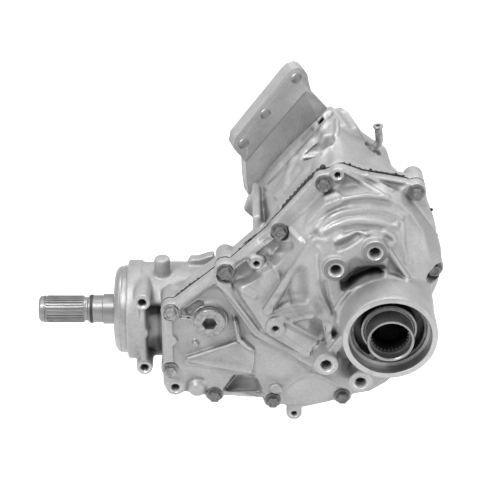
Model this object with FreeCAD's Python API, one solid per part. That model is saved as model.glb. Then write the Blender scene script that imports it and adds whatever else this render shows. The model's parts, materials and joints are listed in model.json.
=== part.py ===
"""Transfer case of a four wheel drive car: a sideways input shaft drives a countershaft with a
bevel ring gear, and its pinion sends the drive out through the tube at the front cover.

Millimetres. The input shaft runs along X through the origin, and the origin is the middle of the
face that meets the gearbox. +Y points away from the output tube, +Z is up."""
import math
import os

import FreeCAD
import Part

V = FreeCAD.Vector
X = V(1, 0, 0)
Y = V(0, 1, 0)
Z = V(0, 0, 1)
ORIGIN = V(0, 0, 0)

# Shaft lines
GEAR_CENTRES = 60.0
OUTPUT_Z = 56.0
COUNTER_Y = math.sqrt(GEAR_CENTRES ** 2 - OUTPUT_Z ** 2)
OUTPUT_X = 256.0
COUNTER = V(0, COUNTER_Y, OUTPUT_Z)
OUTPUT = V(OUTPUT_X, 0, OUTPUT_Z)


def beside(points):
    """Points of the front view, given by their distance from the output line."""
    return [(OUTPUT_X + u, v) for u, v in points]


# Fits
SEAT_GAP = 0.02
BOLT_GAP = 0.3
THREAD_GAP = 0.03
ROLL_GAP = 0.03
RUN_GAP = 0.4

# Seam between the case and its cover
SEAM_Y = -55.0
GASKET = 0.8
COVER_BACK = SEAM_Y - GASKET
COVER_FRONT = -66.0
CASE_FLANGE = 11.0
BOSS_R = 9.8
BOLT_R = 4.0
BOLT_HEAD_R = 5.4
BOLT_FLANGE_R = 8.0
BOLT_FLANGE = 2.0
BOLT_HEAD = 5.0
BOLT_REACH = 20.0
SMALL_HOLE_R = 3.0
DOWEL_R = 4.0
DOWEL_LENGTH = 12.0
LEFT_BOLTS = [(46.2, 39.5), (100.1, 86.1), (89.0, -60.0), (44.8, -29.0)]
RIGHT_BOLTS = [(-103.5, 131.3), (-62.8, 182.4), (24.8, 172.8), (46.5, 90.0), (-37.0, -62.0), (-107.6, -67.0)]
SEAM_BOLTS = LEFT_BOLTS + beside(RIGHT_BOLTS)
DOWELS = beside([(-134.5, 101.5), (6.0, -40.0)])
SEAM_OUTLINE = ([(37, 40), (50, 50), (88, 83), (104, 94)]
                + beside([(-116, 130), (-108, 141), (-75, 182), (-60, 193), (-46, 199), (-26, 191),
                          (-4, 187), (16, 183), (34, 172), (38, 156), (46, 135), (50, 112), (49, 84),
                          (43.5, 60), (42, 20), (28, -20), (8, -46), (-9, -58), (-30, -62),
                          (-49, -70), (-76, -77), (-96, -75), (-116, -66)])
                + [(102, -62), (80, -62), (60, -58), (44, -58), (37, -50)])
MAIN_OPENING = beside([(-128, 90), (-97, 114), (-85, 138), (-60, 166), (-43, 178), (6, 172), (24, 148),
                       (32, 122), (33, 100), (32, 60), (28, 25), (14, -8), (-10, -36), (-32, -50), (-51, -56),
                       (-76, -62), (-92, -56), (-120, -50), (-128, -30)])
LEFT_OPENING = [(62, 26), (92, 58), (112, 64), (117, 58), (118, -40), (100, -46), (76, -38), (60, -18)]
HOLE_TOP = (OUTPUT_X - 50.0, 191.7)
HOLE_LEFT = (OUTPUT_X - 125.3, 97.3)
HOLE_MIDDLE = (OUTPUT_X - 106.5, 31.5)
HOLE_BOTTOM = (OUTPUT_X - 85.6, -84.0)
HOLE_CORNER = (49.1, -51.4)
BOTTOM_HOLE_R = 2.8
CORNER_HOLE_R = 4.2
TOP_HOLE_END = -42.0

# Main case
NECK_R = 49.5
PILOT_FLANGE_R = 51.2
PILOT_FLANGE = 14.0
WAIST_R = 39.0
WAIST_END = 38.0
SADDLE_FROM = 28.0
INPUT_CHAMBER_R = 40.0
CASE_WALL = 7.0
COUNTER_HUB_R = 44.0
RING_CHAMBER_R = 71.0
RING_CHAMBER = (OUTPUT_X - 61.0, OUTPUT_X - 12.0)
EAR_R = 8.7
EAR_FACE = -52.0
EAR_X = 17.4
EAR_HOLE_R = 4.2
EAR_HOLE_DEPTH = 20.0
EARS = [40.0, -38.0]
MAIN_BODY = beside([(-130, 98), (-106, 127), (-75, 168), (-51, 188), (6, 180), (30, 160), (46, 104), (42, 40),
                    (26, -15), (-6, -50), (-51, -64), (-86, -70), (-122, -60), (-132, -40)])

# Cover
TUBE_R = 45.2
TUBE_MOUTH = -140.0
TUBE_BORE_R = 39.4
TUBE_ROOT_R = 46.5
ROOT_MASS_R = 51.0
DOME = V(OUTPUT_X - 27, 0, 93)
TAPPED_R = 12.3
TAPPED_HOLE_R = 5.2
TAPPED_FACE = -105.0
TAPPED = beside([(-15.0, 129.0), (-51.0, 110.4), (-57.0, 2.0), (-22.6, -18.5)])
TAPPED_DEPTHS = [24.0, 23.4, 22.6, 22.0]
TAPPED_END = -77.0
RAISED = beside([(-152, 72), (-112, 101), (-96, 121), (-80, 154), (-64, 173), (-46, 181), (-26, 184),
                 (-4, 182), (12, 175), (25, 161), (36, 143), (44, 122), (46, 104), (43, 40), (16, -20),
                 (-16, -46), (-48, -40), (-60, -24), (-122, 20)])
RAISED_FACE = -82.0
MID_RAISED = (OUTPUT_X - 41.0, 70.0)

# Support bracket, in its own plane
BRACKET_TURN = 16.0
BRACKET_THICK = 17.0
BRACKET_AT = V(OUTPUT_X - 115.9, 40.0, 203.8)
BRACKET_HOLE_R = 5.6
BRACKET_HOLES = [(31.5, 34.7), (0.0, 0.0), (-22.6, -30.0)]
BRACKET_BOLTS = [(60.0, -22.0), (30.0, -52.0), (8.0, -84.0)]
FOOT_THICK = 12.0
ALCOVE_FLOOR = 172.0

# Input shaft
SHAFT_TIP = -92.8
SPLINE_R = 14.2
SPLINE_ROOT_R = 12.9
SPLINE_TEETH = 27
SPLINE = (-85.5, -46.2)
JOURNAL_R = 14.3
COLLAR_R = 15.7
INPUT_R = 17.5
INPUT_END_R = 15.0
INPUT_END = OUTPUT_X - 59.0
CAP_R = 45.4
CAP_LENGTH = 13.6
CAP_SINK = 4.0
CAP_SEAT = 0.6
CAP_ROOT_R = 44.0

# Spur gears
SPUR_MODULE = 2.5
INPUT_TEETH = 26
DRIVEN_TEETH = 22
SPUR = (OUTPUT_X - 102.0, OUTPUT_X - 80.0)
BACKLASH = 0.3
PRESSURE = math.radians(20)

# Bevel gears
BEVEL_MODULE = 3.2
RING_TEETH = 39
PINION_TEETH = 15
BEVEL_FACE = 20.0
RING_BACK = 40.0
RING_BORE_R = 37.0
RING_BOLT_CIRCLE = 47.0
RING_BOLT_COUNT = 8
RING_FLANGE_R = 55.0
RING_FLANGE_X = OUTPUT_X - RING_BACK - 12.0

# Bearings: bore radius, outer radius, width
INPUT_FRONT = (17.5, 36.0, 17.0)
INPUT_REAR = (15.0, 31.0, 16.0)
COUNTER_LEFT = (15.0, 31.0, 15.0)
COUNTER_RIGHT = (17.5, 34.0, 16.0)
PINION_HEAD = (17.5, 36.0, 18.0)
PINION_TAIL = (15.0, 31.0, 17.0)
INPUT_FRONT_X = 6.0
INPUT_REAR_X = OUTPUT_X - 75.0
COUNTER_LEFT_X = OUTPUT_X - 122.0
COUNTER_RIGHT_X = OUTPUT_X + 21.0
PINION_HEAD_Y = -56.2
PINION_TAIL_Y = -88.0

# Output end
SLEEVE_R = 22.4
SLEEVE_MOUTH = -145.0
NUT_SEAT = -113.4
THREAD_R = 11.0
MOUTH_R = 19.6
SPLINE_BORE_R = 18.2
SEAL_R = 36.0
SEAL_FACE = -122.0
SEAL_WIDTH = 10.0

# Plugs and vent
FILL_AT = V(84.8, 0, 32.2)
FILL_FACE = -73.0
DRAIN_X = OUTPUT_X - 34.0
PLUG_R = 9.0
PLUG_HEAD_R = 15.8
PLUG_HEAD = 4.0
PLUG_SOCKET = 13.0
FILL_BOSS_R = 18.2
PLUG_REACH = 9.0
WASHER = 1.2
VENT_AT = V(OUTPUT_X - 12.5, 20.0, 171.0)
VENT_ALONG = V(0.62, 0, 0.785)
VENT_R = 3.8
DRAIN_FACE = -54.0


def front(u, v, y):
    """A point of the front view at a depth."""
    return V(u, y, v)


def leaning(u, v, w):
    """A point in the plane of the bracket, w measured into the plate."""
    turn = math.radians(BRACKET_TURN)
    along = V(math.cos(turn), math.sin(turn), 0)
    into = V(-math.sin(turn), math.cos(turn), 0)
    return BRACKET_AT + along * u + Z * v + into * w


def outline(points, corner):
    """Closed wire through the points, each corner rounded."""
    count = len(points)
    bends = []
    for i, here in enumerate(points):
        back = points[i - 1] - here
        on = points[(i + 1) % count] - here
        half = back.getAngle(on) / 2
        if corner == 0 or half > math.radians(86):
            bends.append((here, None, here))
            continue
        reach = min(corner / math.tan(half), 0.45 * back.Length, 0.45 * on.Length)
        radius = reach * math.tan(half)
        back.normalize()
        on.normalize()
        split = back + on
        split.normalize()
        middle = here + split * (radius / math.sin(half) - radius)
        bends.append((here + back * reach, middle, here + on * reach))
    edges = []
    for i, (start, middle, end) in enumerate(bends):
        if middle is not None:
            edges.append(Part.Arc(start, middle, end).toShape())
        edges.append(Part.makeLine(end, bends[(i + 1) % count][0]))
    return Part.Wire(edges)


def slab(points, near, far, corner=0.0, view=front):
    """Plate with the given outline between two depths."""
    start = [view(u, v, near) for u, v in points]
    depth = view(0, 0, far) - view(0, 0, near)
    return Part.Face(outline(start, corner)).extrude(depth)


def drafted(points, near, far, keep, corner=0.0, view=front):
    """Like slab, but its far end is smaller by the factor keep."""
    mid_u = sum(u for u, v in points) / len(points)
    mid_v = sum(v for u, v in points) / len(points)
    start = [view(u, v, near) for u, v in points]
    end = [view(mid_u + (u - mid_u) * keep, mid_v + (v - mid_v) * keep, far) for u, v in points]
    return Part.makeLoft([outline(start, corner), outline(end, corner * keep)], True, True)


def rod(start, along, radius, length):
    return Part.makeCylinder(radius, length, start, along)


def ring(start, along, outer, inner, length):
    return rod(start, along, outer, length).cut(rod(start, along, inner, length))


def post(u, v, near, far, radius):
    """Round post along Y."""
    return rod(V(u, near, v), Y, radius, far - near)


def rib(start, end, thick, near, far, view=front):
    """Straight wall with round ends between two points of a view."""
    (u0, v0), (u1, v1) = start, end
    length = math.hypot(u1 - u0, v1 - v0)
    du = (u1 - u0) / length * thick / 2
    dv = (v1 - v0) / length * thick / 2
    corners = [(u0 - du - dv, v0 - dv + du), (u1 + du - dv, v1 + dv + du),
               (u1 + du + dv, v1 + dv - du), (u0 - du + dv, v0 - dv - du)]
    return slab(corners, near, far, thick * 0.45, view)


def ribs(points, thick, near, far, view=front):
    """Bent wall through several points."""
    return [rib(a, b, thick, near, far, view) for a, b in zip(points, points[1:])]


def turned(profile, start, along):
    """Turned body: the profile lists (distance along, radius) pairs."""
    wire = Part.makePolygon([V(r, 0, a) for a, r in profile + profile[:1]])
    body = Part.Face(wire).revolve(ORIGIN, Z, 360)
    body.Placement = FreeCAD.Placement(start, FreeCAD.Rotation(Z, along))
    return body


def hexagon(across, length, start, along):
    """Hexagonal bar."""
    radius = across / math.sqrt(3)
    corners = [V(radius * math.cos(math.radians(60 * i)), radius * math.sin(math.radians(60 * i)), 0)
               for i in range(7)]
    body = Part.Face(Part.makePolygon(corners)).extrude(Z * length)
    body.Placement = FreeCAD.Placement(start, FreeCAD.Rotation(Z, along))
    return body


def spun(shape, at, along, angle):
    """Copy turned about a line."""
    copy = shape.copy()
    copy.rotate(at, along, angle)
    return copy


def around(shape, at, along, count):
    """Copies spread evenly about a line."""
    return [spun(shape, at, along, 360.0 * i / count) for i in range(count)]


def save(node, shape):
    if shape.ShapeType == "Compound" and len(shape.Solids) == 1:
        shape = shape.Solids[0]
    shape.exportStep("parts/" + node + ".step")
    print(node, len(shape.Solids), round(shape.Volume), shape.isValid())


def involute(angle):
    return math.tan(angle) - angle


def half_angle(radius, pitch, half_at_pitch):
    """Half the angle that a tooth takes up at a radius."""
    base = pitch * math.cos(PRESSURE)
    at = math.acos(base / radius) if radius > base else 0.0
    return half_at_pitch + involute(PRESSURE) - involute(at)


def flank_radii(pitch, root, tip, steps=4):
    base = max(pitch * math.cos(PRESSURE), root)
    upper = [base + (tip - base) * i / steps for i in range(steps + 1)]
    return ([root] if base > root + 0.05 else []) + upper


def spur_wheel(teeth, first_angle):
    """Toothed disc about Z, one tooth centred at first_angle."""
    pitch = SPUR_MODULE * teeth / 2
    half = math.pi / (2 * teeth) - BACKLASH / (4 * pitch)
    radii = flank_radii(pitch, pitch - 1.25 * SPUR_MODULE, pitch + 0.95 * SPUR_MODULE)
    corners = []
    for i in range(teeth):
        middle = first_angle + 2 * math.pi * i / teeth
        for r in radii:
            a = middle - half_angle(r, pitch, half)
            corners.append(V(r * math.cos(a), r * math.sin(a), 0))
        for r in reversed(radii):
            a = middle + half_angle(r, pitch, half)
            corners.append(V(r * math.cos(a), r * math.sin(a), 0))
    return Part.Face(Part.makePolygon(corners + corners[:1])).extrude(Z * (SPUR[1] - SPUR[0]))


def bevel_tooth(pitch, mate_pitch, teeth):
    """One tooth of a bevel gear, apex at the origin, axis +Z, tooth on the +X side."""
    cone = math.atan2(pitch, mate_pitch)
    length = math.hypot(pitch, mate_pitch)
    flat_pitch = pitch / math.cos(cone)
    half = (math.pi / (2 * teeth) - BACKLASH / (4 * pitch)) * math.cos(cone)
    root = flat_pitch - 1.25 * BEVEL_MODULE
    radii = flank_radii(flat_pitch, root, flat_pitch + 0.95 * BEVEL_MODULE)
    inner = (length - BEVEL_FACE) / length

    def point(r, side, sink=0.0):
        turn = side * half_angle(max(r, root), flat_pitch, half) / math.cos(cone)
        out = (r - sink) * math.cos(cone)
        up = length / math.cos(cone) - (r - sink) * math.sin(cone)
        return V(out * math.cos(turn), out * math.sin(turn), up)

    section = [point(root, -1, 0.8)] + [point(r, -1) for r in radii]
    section = section + [point(r, 1) for r in reversed(radii)] + [point(root, 1, 0.8)]
    faces = []
    for scale in (1.0, inner):
        corners = [p * scale for p in section]
        centre = V(0, 0, 0)
        for p in corners:
            centre = centre + p
        centre = centre * (1.0 / len(corners))
        for a, b in zip(corners, corners[1:] + corners[:1]):
            faces.append(Part.Face(Part.makePolygon([a, b, centre, a])))
    for a, b in zip(section, section[1:] + section[:1]):
        faces.append(Part.Face(Part.makePolygon([a, b, b * inner, a * inner, a])))
    tooth = Part.Solid(Part.Shell(faces))
    if tooth.Volume < 0:
        tooth.reverse()
    return tooth


def bevel_gear(teeth, mate_teeth, blank, first_angle):
    """Bevel gear about Z with its apex at the origin and its teeth on the +Z side."""
    pitch = BEVEL_MODULE * teeth / 2
    mate_pitch = BEVEL_MODULE * mate_teeth / 2
    tooth = spun(bevel_tooth(pitch, mate_pitch, teeth), ORIGIN, Z, first_angle)
    return turned(blank, ORIGIN, Z).fuse(around(tooth, ORIGIN, Z, teeth))


def root_cone(pitch, mate_pitch):
    """Outer and inner corner of the root surface of a bevel gear, as (along, radius)."""
    cone = math.atan2(pitch, mate_pitch)
    length = math.hypot(pitch, mate_pitch)
    along = mate_pitch + 1.25 * BEVEL_MODULE * math.sin(cone)
    out = pitch - 1.25 * BEVEL_MODULE * math.cos(cone)
    inner = (length - BEVEL_FACE) / length
    return (along, out), (along * inner, out * inner)


def ball_bearing(name, size, start, along):
    """Inner ring, outer ring and the balls with their cage."""
    bore, outer, width = size
    middle = (bore + outer) / 2
    ball = (outer - bore) * 0.3
    at = start + along * (width / 2)
    groove = Part.makeTorus(middle, ball, at, along)
    inner_ring = ring(start, along, middle - ball * 0.45, bore, width).cut(groove)
    outer_ring = ring(start, along, outer, middle + ball * 0.45, width).cut(groove)
    count = int(2 * math.pi * middle / (ball * 2.5))
    side = V(0, 0, 1)
    balls = around(Part.makeSphere(ball - ROLL_GAP, at + side * middle), at, along, count)
    thin = ball * 0.3
    cage = ring(at - along * (ball * 1.2), along, middle + thin, middle - thin, ball * 2.4)
    pockets = around(Part.makeSphere(ball + RUN_GAP / 2, at + side * middle), at, along, count)
    cage = cage.cut(pockets)
    save(name + "_inner", inner_ring)
    save(name + "_outer", outer_ring)
    save(name + "_balls", Part.makeCompound(balls + cage.Solids))


def taper_bearing(name, size, start, along):
    """Cone, cup and the rollers with their cage; the cone opens the way along points."""
    bore, outer, width = size
    middle = (bore + outer) / 2
    lean = math.radians(13)
    spread = math.radians(2.6)
    apex = width / 2 - middle / math.tan(lean)
    roller_r = middle / math.sin(lean) * math.tan(spread)

    def cone_radius(a, tilt, gap):
        return (a - apex) * math.tan(tilt) + gap

    low = lean - spread
    high = lean + spread
    near = 1.5
    far = width - 1.5
    cone = turned([(0, bore), (0, cone_radius(0, low, -ROLL_GAP)),
                   (width, cone_radius(width, low, -ROLL_GAP)), (width, bore)], start, along)
    cup = turned([(near, outer), (near, cone_radius(near, high, ROLL_GAP)),
                  (far, cone_radius(far, high, ROLL_GAP)), (far, outer)], start, along)
    side = Z
    line = along * math.cos(lean) + side * math.sin(lean)
    tip = start + along * apex
    centre = middle / math.sin(lean)
    reach = width * 0.36
    first = centre - reach
    last = centre + reach
    count = int(2 * math.pi * middle / (roller_r * 2.35))
    roller = Part.makeCone(first * math.tan(spread) - ROLL_GAP, last * math.tan(spread) - ROLL_GAP,
                           last - first, tip + line * first, line)
    pocket = Part.makeCone((first - 0.4) * math.tan(spread) + RUN_GAP / 2,
                           (last + 0.4) * math.tan(spread) + RUN_GAP / 2,
                           last - first + 0.8, tip + line * (first - 0.4), line)
    a0 = width / 2 - reach * 1.2
    a1 = width / 2 + reach * 1.2
    half = 0.8
    cage = turned([(a0, cone_radius(a0, lean, -half)), (a0, cone_radius(a0, lean, half)),
                   (a1, cone_radius(a1, lean, half)), (a1, cone_radius(a1, lean, -half))], start, along)
    cage = cage.cut(around(pocket, start, along, count))
    save(name + "_cone", cone)
    save(name + "_cup", cup)
    save(name + "_rollers", Part.makeCompound(around(roller, start, along, count) + cage.Solids))


def hub_seat(size, start, along):
    """Room for a bearing in a casting."""
    bore, outer, width = size
    return rod(start, along, outer + SEAT_GAP, width)


def seam_holes(near, far, radius):
    return [post(u, v, near, far, radius) for u, v in SEAM_BOLTS]


def dowel_holes():
    half = DOWEL_LENGTH / 2 + 1
    return [post(u, v, SEAM_Y - half, SEAM_Y + half, DOWEL_R + SEAT_GAP) for u, v in DOWELS]


def cover_dome(sink):
    """Bulge over the gears; sink makes it smaller for its hollow side."""
    profile = [(-60, 0), (-60, 82), (-70, 80), (-84, 70), (-95, 54), (-102, 30), (-104, 0)]
    return turned([(-a - sink * (a < -60), max(r - sink, 0) if r > 31 else r)
                   for a, r in profile], DOME, -Y)


def cover_ribs():
    """Raised walls on the face of the cover."""
    face = COVER_FRONT + 1
    low = []
    low += ribs(beside([(-162, 80), (-126, 20), (-60, -24)]), 7.0, -75, face)
    low += [slab(beside([(-158, 78), (-151, 74), (-117, 20), (-58, -19), (-62, -26), (-126, 16)]),
                 -73, face, 2.0)]
    low += [slab([(57, -17), (112, 5), (130, -8), (128, -32)], -71.5, face, 2.0)]
    low += ribs([(110, 31), (114, 10), (127, -4)], 5.0, -74, face)
    low += ribs([(56, 37), (68, 35.5)], 2.2, -70, face)
    low += ribs([(56, 33), (68, 31.5)], 2.2, -70, face)
    low += ribs([(43.5, 36), (43.5, -38)], 9.0, -69.5, face)
    low += ribs([(54, 46), (94, 80)], 7.0, -69.5, face)
    low += ribs([(106, 90), (146, 126)], 7.0, -69.5, face)
    low += ribs(beside([(-116, 52), (-70, 134)]), 6.0, -88, face)
    low += ribs(beside([(-67, 106), (-62, 64), (-53, 18)]), 7.0, -92, face)
    low += ribs(beside([(-57, 2), (-38, 32)]), 9.0, -98, face)
    low += ribs(beside([(-22.6, -18.5), (-14, 14)]), 8.0, -94, face)
    low += ribs(beside([(-8, 135), (17, 100)]), 5.0, -101, face)
    low += ribs(beside([(-51, 110.4), (-55, 84)]), 6.0, -94, face)
    return low


def cover_pockets(grow):
    """Deep gaps beside the output tube; grow gives the walls round them."""
    shapes = [[(-47, 96), (-31, 112), (-12, 112), (-1, 103), (-16, 100), (-32, 92), (-44, 82)],
              [(-44, 0), (-40, 8), (-33, 5), (-28, -4), (-34, -8), (-37, -18), (-42, -18)]]
    pockets = []
    for shape in shapes:
        mid_u = sum(u for u, v in shape) / len(shape)
        mid_v = sum(v for u, v in shape) / len(shape)
        points = [(mid_u + (u - mid_u) * (1 + grow / 12), mid_v + (v - mid_v) * (1 + grow / 9))
                  for u, v in shape]
        pockets.append(slab(beside(points), -120 if grow == 0 else -96, -84 + grow, 3.0))
    return pockets


def front_cover():
    back = COVER_BACK
    body = slab(SEAM_OUTLINE, COVER_FRONT, back, 5.0)
    raised = drafted(RAISED, COVER_FRONT + 1, RAISED_FACE, 0.93, 12.0)
    pad = slab(beside([(-117, 40), (-98, 44), (-63, 18), (-72, 4)]), RAISED_FACE - 2, COVER_FRONT, 3.0)
    tube = turned([(-COVER_FRONT - 2, 0), (-COVER_FRONT - 2, TUBE_ROOT_R + 1), (80, TUBE_ROOT_R),
                   (92, TUBE_R + 1), (100, TUBE_R), (-TUBE_MOUTH - 1, TUBE_R),
                   (-TUBE_MOUTH, TUBE_R - 1), (-TUBE_MOUTH, 0)], OUTPUT, -Y)
    root = turned([(-COVER_FRONT - 2, 0), (-COVER_FRONT - 2, ROOT_MASS_R + 1), (88, ROOT_MASS_R),
                   (106, TUBE_R - 3), (106, 0)], OUTPUT + V(-5.5, 0, 3.5), -Y)
    posts = [post(u, v, COVER_FRONT - 1, back, BOSS_R) for u, v in SEAM_BOLTS]
    posts += [post(u, v, TAPPED_FACE, COVER_FRONT, TAPPED_R) for u, v in TAPPED]
    seats = [(HOLE_TOP, -68, 7.2), (HOLE_LEFT, -72, 8.0), (HOLE_MIDDLE, -86, 9.0), (HOLE_BOTTOM, -68, 8.0),
             (HOLE_CORNER, -68, 9.8)]
    posts += [post(*at, face, back, radius) for at, face, radius in seats]
    posts += [turned([(-back, 0), (-back, 10.5), (63, 10.5), (68, 9.4), (71.5, 7), (73.6, 3.6), (74.2, 0)],
                     V(71.3, 0, -52.7), -Y)]
    posts += [post(70.3, 2.5, -70, back, 3.5)]
    posts += [post(47.7, 6.2, -70.5, back, 5.4)]
    posts += [slab([(HOLE_BOTTOM[0] + u, v) for u, v in ((-8, -66), (8, -66), (7.5, -84), (-7.5, -84))],
                   COVER_FRONT, back)]
    posts += [post(OUTPUT_X - 104.6, -52.0, -71, back, 6.0)]
    posts += [post(FILL_AT.x, FILL_AT.z, FILL_FACE, back, FILL_BOSS_R)]
    dome = cover_dome(0)
    body = body.fuse([raised, pad, dome, tube, root] + posts + cover_ribs())
    inside = [(MID_RAISED[0] + (u - MID_RAISED[0]) * 0.88, MID_RAISED[1] + (v - MID_RAISED[1]) * 0.88)
              for u, v in RAISED]
    hollow = [slab(MAIN_OPENING, back, -60, 8.0), slab(LEFT_OPENING, back, -59, 6.0),
              drafted(inside, back, RAISED_FACE + CASE_WALL, 0.93, 12.0), cover_dome(CASE_WALL)]
    hub = rod(V(OUTPUT_X, back, OUTPUT_Z), -Y, PINION_HEAD[1] + CASE_WALL, 40)
    arms = [rib((OUTPUT_X, OUTPUT_Z), (OUTPUT_X + u, OUTPUT_Z + v), 6.0, -90, back - 2)
            for u, v in ((-90, 30), (-70, -80), (10, -85), (38, 20), (-20, 115))]
    arms += [post(u, v, TAPPED_FACE + 2, TAPPED_END, TAPPED_R - 3) for u, v in TAPPED]
    arms += [post(*HOLE_MIDDLE, -84, -70, 7.0), post(*HOLE_LEFT, -68, -58, 6.5)] + cover_pockets(6)
    room = hollow[0].fuse(hollow[1:])
    arms = [arm.common(room) for arm in arms]
    body = body.cut(room).fuse([hub] + arms)
    tools = [hub_seat(PINION_HEAD, V(OUTPUT_X, PINION_HEAD_Y, OUTPUT_Z), -Y)]
    tools += [rod(V(OUTPUT_X, back, OUTPUT_Z), -Y, PINION_TAIL[1] - 3.5, 90)]
    tools += [rod(V(OUTPUT_X, PINION_TAIL_Y, OUTPUT_Z), -Y, PINION_TAIL[1] + SEAT_GAP, 60)]
    tools += [rod(V(OUTPUT_X, -109, OUTPUT_Z), -Y, SEAL_R + SEAT_GAP, 40)]
    tools += [rod(V(OUTPUT_X, SEAL_FACE - 5, OUTPUT_Z), -Y, TUBE_BORE_R, 20)]
    tools += [ring(V(OUTPUT_X, SEAL_FACE - 1.2, OUTPUT_Z), -Y, SEAL_R + 2, SEAL_R - 1, 2.0)]
    tools += seam_holes(-100, back, BOLT_R + BOLT_GAP)
    tools += [post(u, v, -90, COVER_FRONT - 1, BOLT_FLANGE_R + 1.2) for u, v in SEAM_BOLTS]
    tools += [post(*at, -100, face, radius - 0.5) for at, face, radius in seats]
    tools += [post(*at, TAPPED_FACE, TAPPED_FACE + depth, TAPPED_HOLE_R)
              for at, depth in zip(TAPPED, TAPPED_DEPTHS)]
    tools += [post(*HOLE_TOP, -90, back, SMALL_HOLE_R), post(*HOLE_LEFT, -90, -60, SMALL_HOLE_R)]
    tools += [post(*HOLE_MIDDLE, -90, -74, SMALL_HOLE_R), post(*HOLE_BOTTOM, -90, back, BOTTOM_HOLE_R)]
    tools += [post(*HOLE_CORNER, -90, back, CORNER_HOLE_R)]
    tools += [post(FILL_AT.x, FILL_AT.z, -90, back, PLUG_R + THREAD_GAP)]
    tools += [slab([(113, -38), (132, -42), (138, -57), (100, -57)], -70, -61.5, 2.0)]
    tools += [slab([(64, 36), (80, 50), (74, 52), (60, 41)], -70, -63, 2.0)]
    tools += dowel_holes() + cover_pockets(0)
    return body.cut(tools)


def case_outer():
    """Outside of the main case before it is hollowed."""
    flange = slab(SEAM_OUTLINE, SEAM_Y, SEAM_Y + CASE_FLANGE, 5.0)
    tub = drafted([(u * 0.985 + 2.3, v * 0.97 + 0.8) for u, v in SEAM_OUTLINE],
                  SEAM_Y + 2, -22, 0.95, 5.0)
    main = drafted(MAIN_BODY, SEAM_Y + 2, 36, 0.84, 14.0)
    neck = turned([(0, 0), (0, PILOT_FLANGE_R - 1), (1, PILOT_FLANGE_R), (PILOT_FLANGE, PILOT_FLANGE_R),
                   (PILOT_FLANGE + 1, WAIST_R), (WAIST_END - 6, WAIST_R), (WAIST_END, NECK_R),
                   (SPUR[0] - 4, NECK_R), (INPUT_END - 2, 46), (INPUT_END + 10, 38),
                   (INPUT_END + 10, 0)], ORIGIN, X)
    web = rib((PILOT_FLANGE - 4, 0), (WAIST_END + 2, 0), 5.0, -NECK_R + 1, -30)
    webs = [spun(web, ORIGIN, X, angle) for angle in range(60, 301, 30)]
    saddle = rod(X * (PILOT_FLANGE - 4), X, NECK_R - 0.4, WAIST_END + 6 - PILOT_FLANGE)
    webs += [saddle.common(Part.makeBox(90, 120, 60, V(-20, -60, SADDLE_FROM)))]
    x0, x1 = RING_CHAMBER
    outer = RING_CHAMBER_R + CASE_WALL
    end = COUNTER_RIGHT_X + COUNTER_RIGHT[2]
    chamber = turned([(x0 - CASE_WALL - 4, 0), (x0 - CASE_WALL - 4, outer - 10),
                      (x0 - CASE_WALL + 2, outer - 1), (x0, outer), (x1, outer), (x1 + 12, outer - 6),
                      (end - 12, 50), (end - 8, 43), (end + 7, 42), (end + 9, 40), (end + 9, 0)], COUNTER, X)
    hub = rod(COUNTER + X * (COUNTER_LEFT_X - 6), X, COUNTER_HUB_R, x0 - COUNTER_LEFT_X)
    ears = [rod(V(EAR_X, EAR_FACE, z), Y, EAR_R, -EAR_FACE) for z in EARS]
    ears += [slab([(EAR_X - 3, EARS[1]), (EAR_X + 3, EARS[1]), (EAR_X + 3, EARS[0]), (EAR_X - 3, EARS[0])],
                  EAR_FACE + 1, -20, 0.8)]
    ears += [rod(V(EAR_X, EAR_FACE, 3), Y, 5.7, 20), rod(V(36, -8, 30), Z, 8.3, 37)]
    ears += [slab([(58, 42), (63.5, 57), (72, 56.5), (80, 60), (88, 62), (92, 42)], 4, 16, 1.5)]
    humps = [post(u, v, SEAM_Y, SEAM_Y + 26, BOSS_R) for u, v in SEAM_BOLTS]
    humps += [post(*HOLE_CORNER, SEAM_Y, SEAM_Y + 18, 9.0), post(*HOLE_BOTTOM, SEAM_Y, SEAM_Y + 14, 8.0)]
    humps += [post(*HOLE_TOP, SEAM_Y, SEAM_Y + 30, 7.2)]
    drain = rod(V(DRAIN_X, COUNTER_Y, DRAIN_FACE), Z, 17.0, 24)
    vent = rod(VENT_AT, VENT_ALONG * -1, 9.0, 24)
    fins = []
    for angle in (-60, -30, 0, 30, 60):
        fin = slab([(SPUR[0] + 4, -3), (end - 3, -3), (end - 3, 3), (SPUR[0] + 4, 3)], 30, outer + 4)
        fin = fin.common(turned([(SPUR[0] + 4, 0), (SPUR[1], COUNTER_HUB_R + 2), (x0 - 6, outer + 3),
                                 (x1 + 4, outer + 3), (end - 5, 44), (end - 3, 0)], ORIGIN, X))
        fins.append(spun(fin, ORIGIN, X, angle).translated(COUNTER))
    return flange.fuse([tub, main, neck, chamber, hub, drain, vent] + webs + ears + humps + fins
                       + case_tower())


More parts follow.
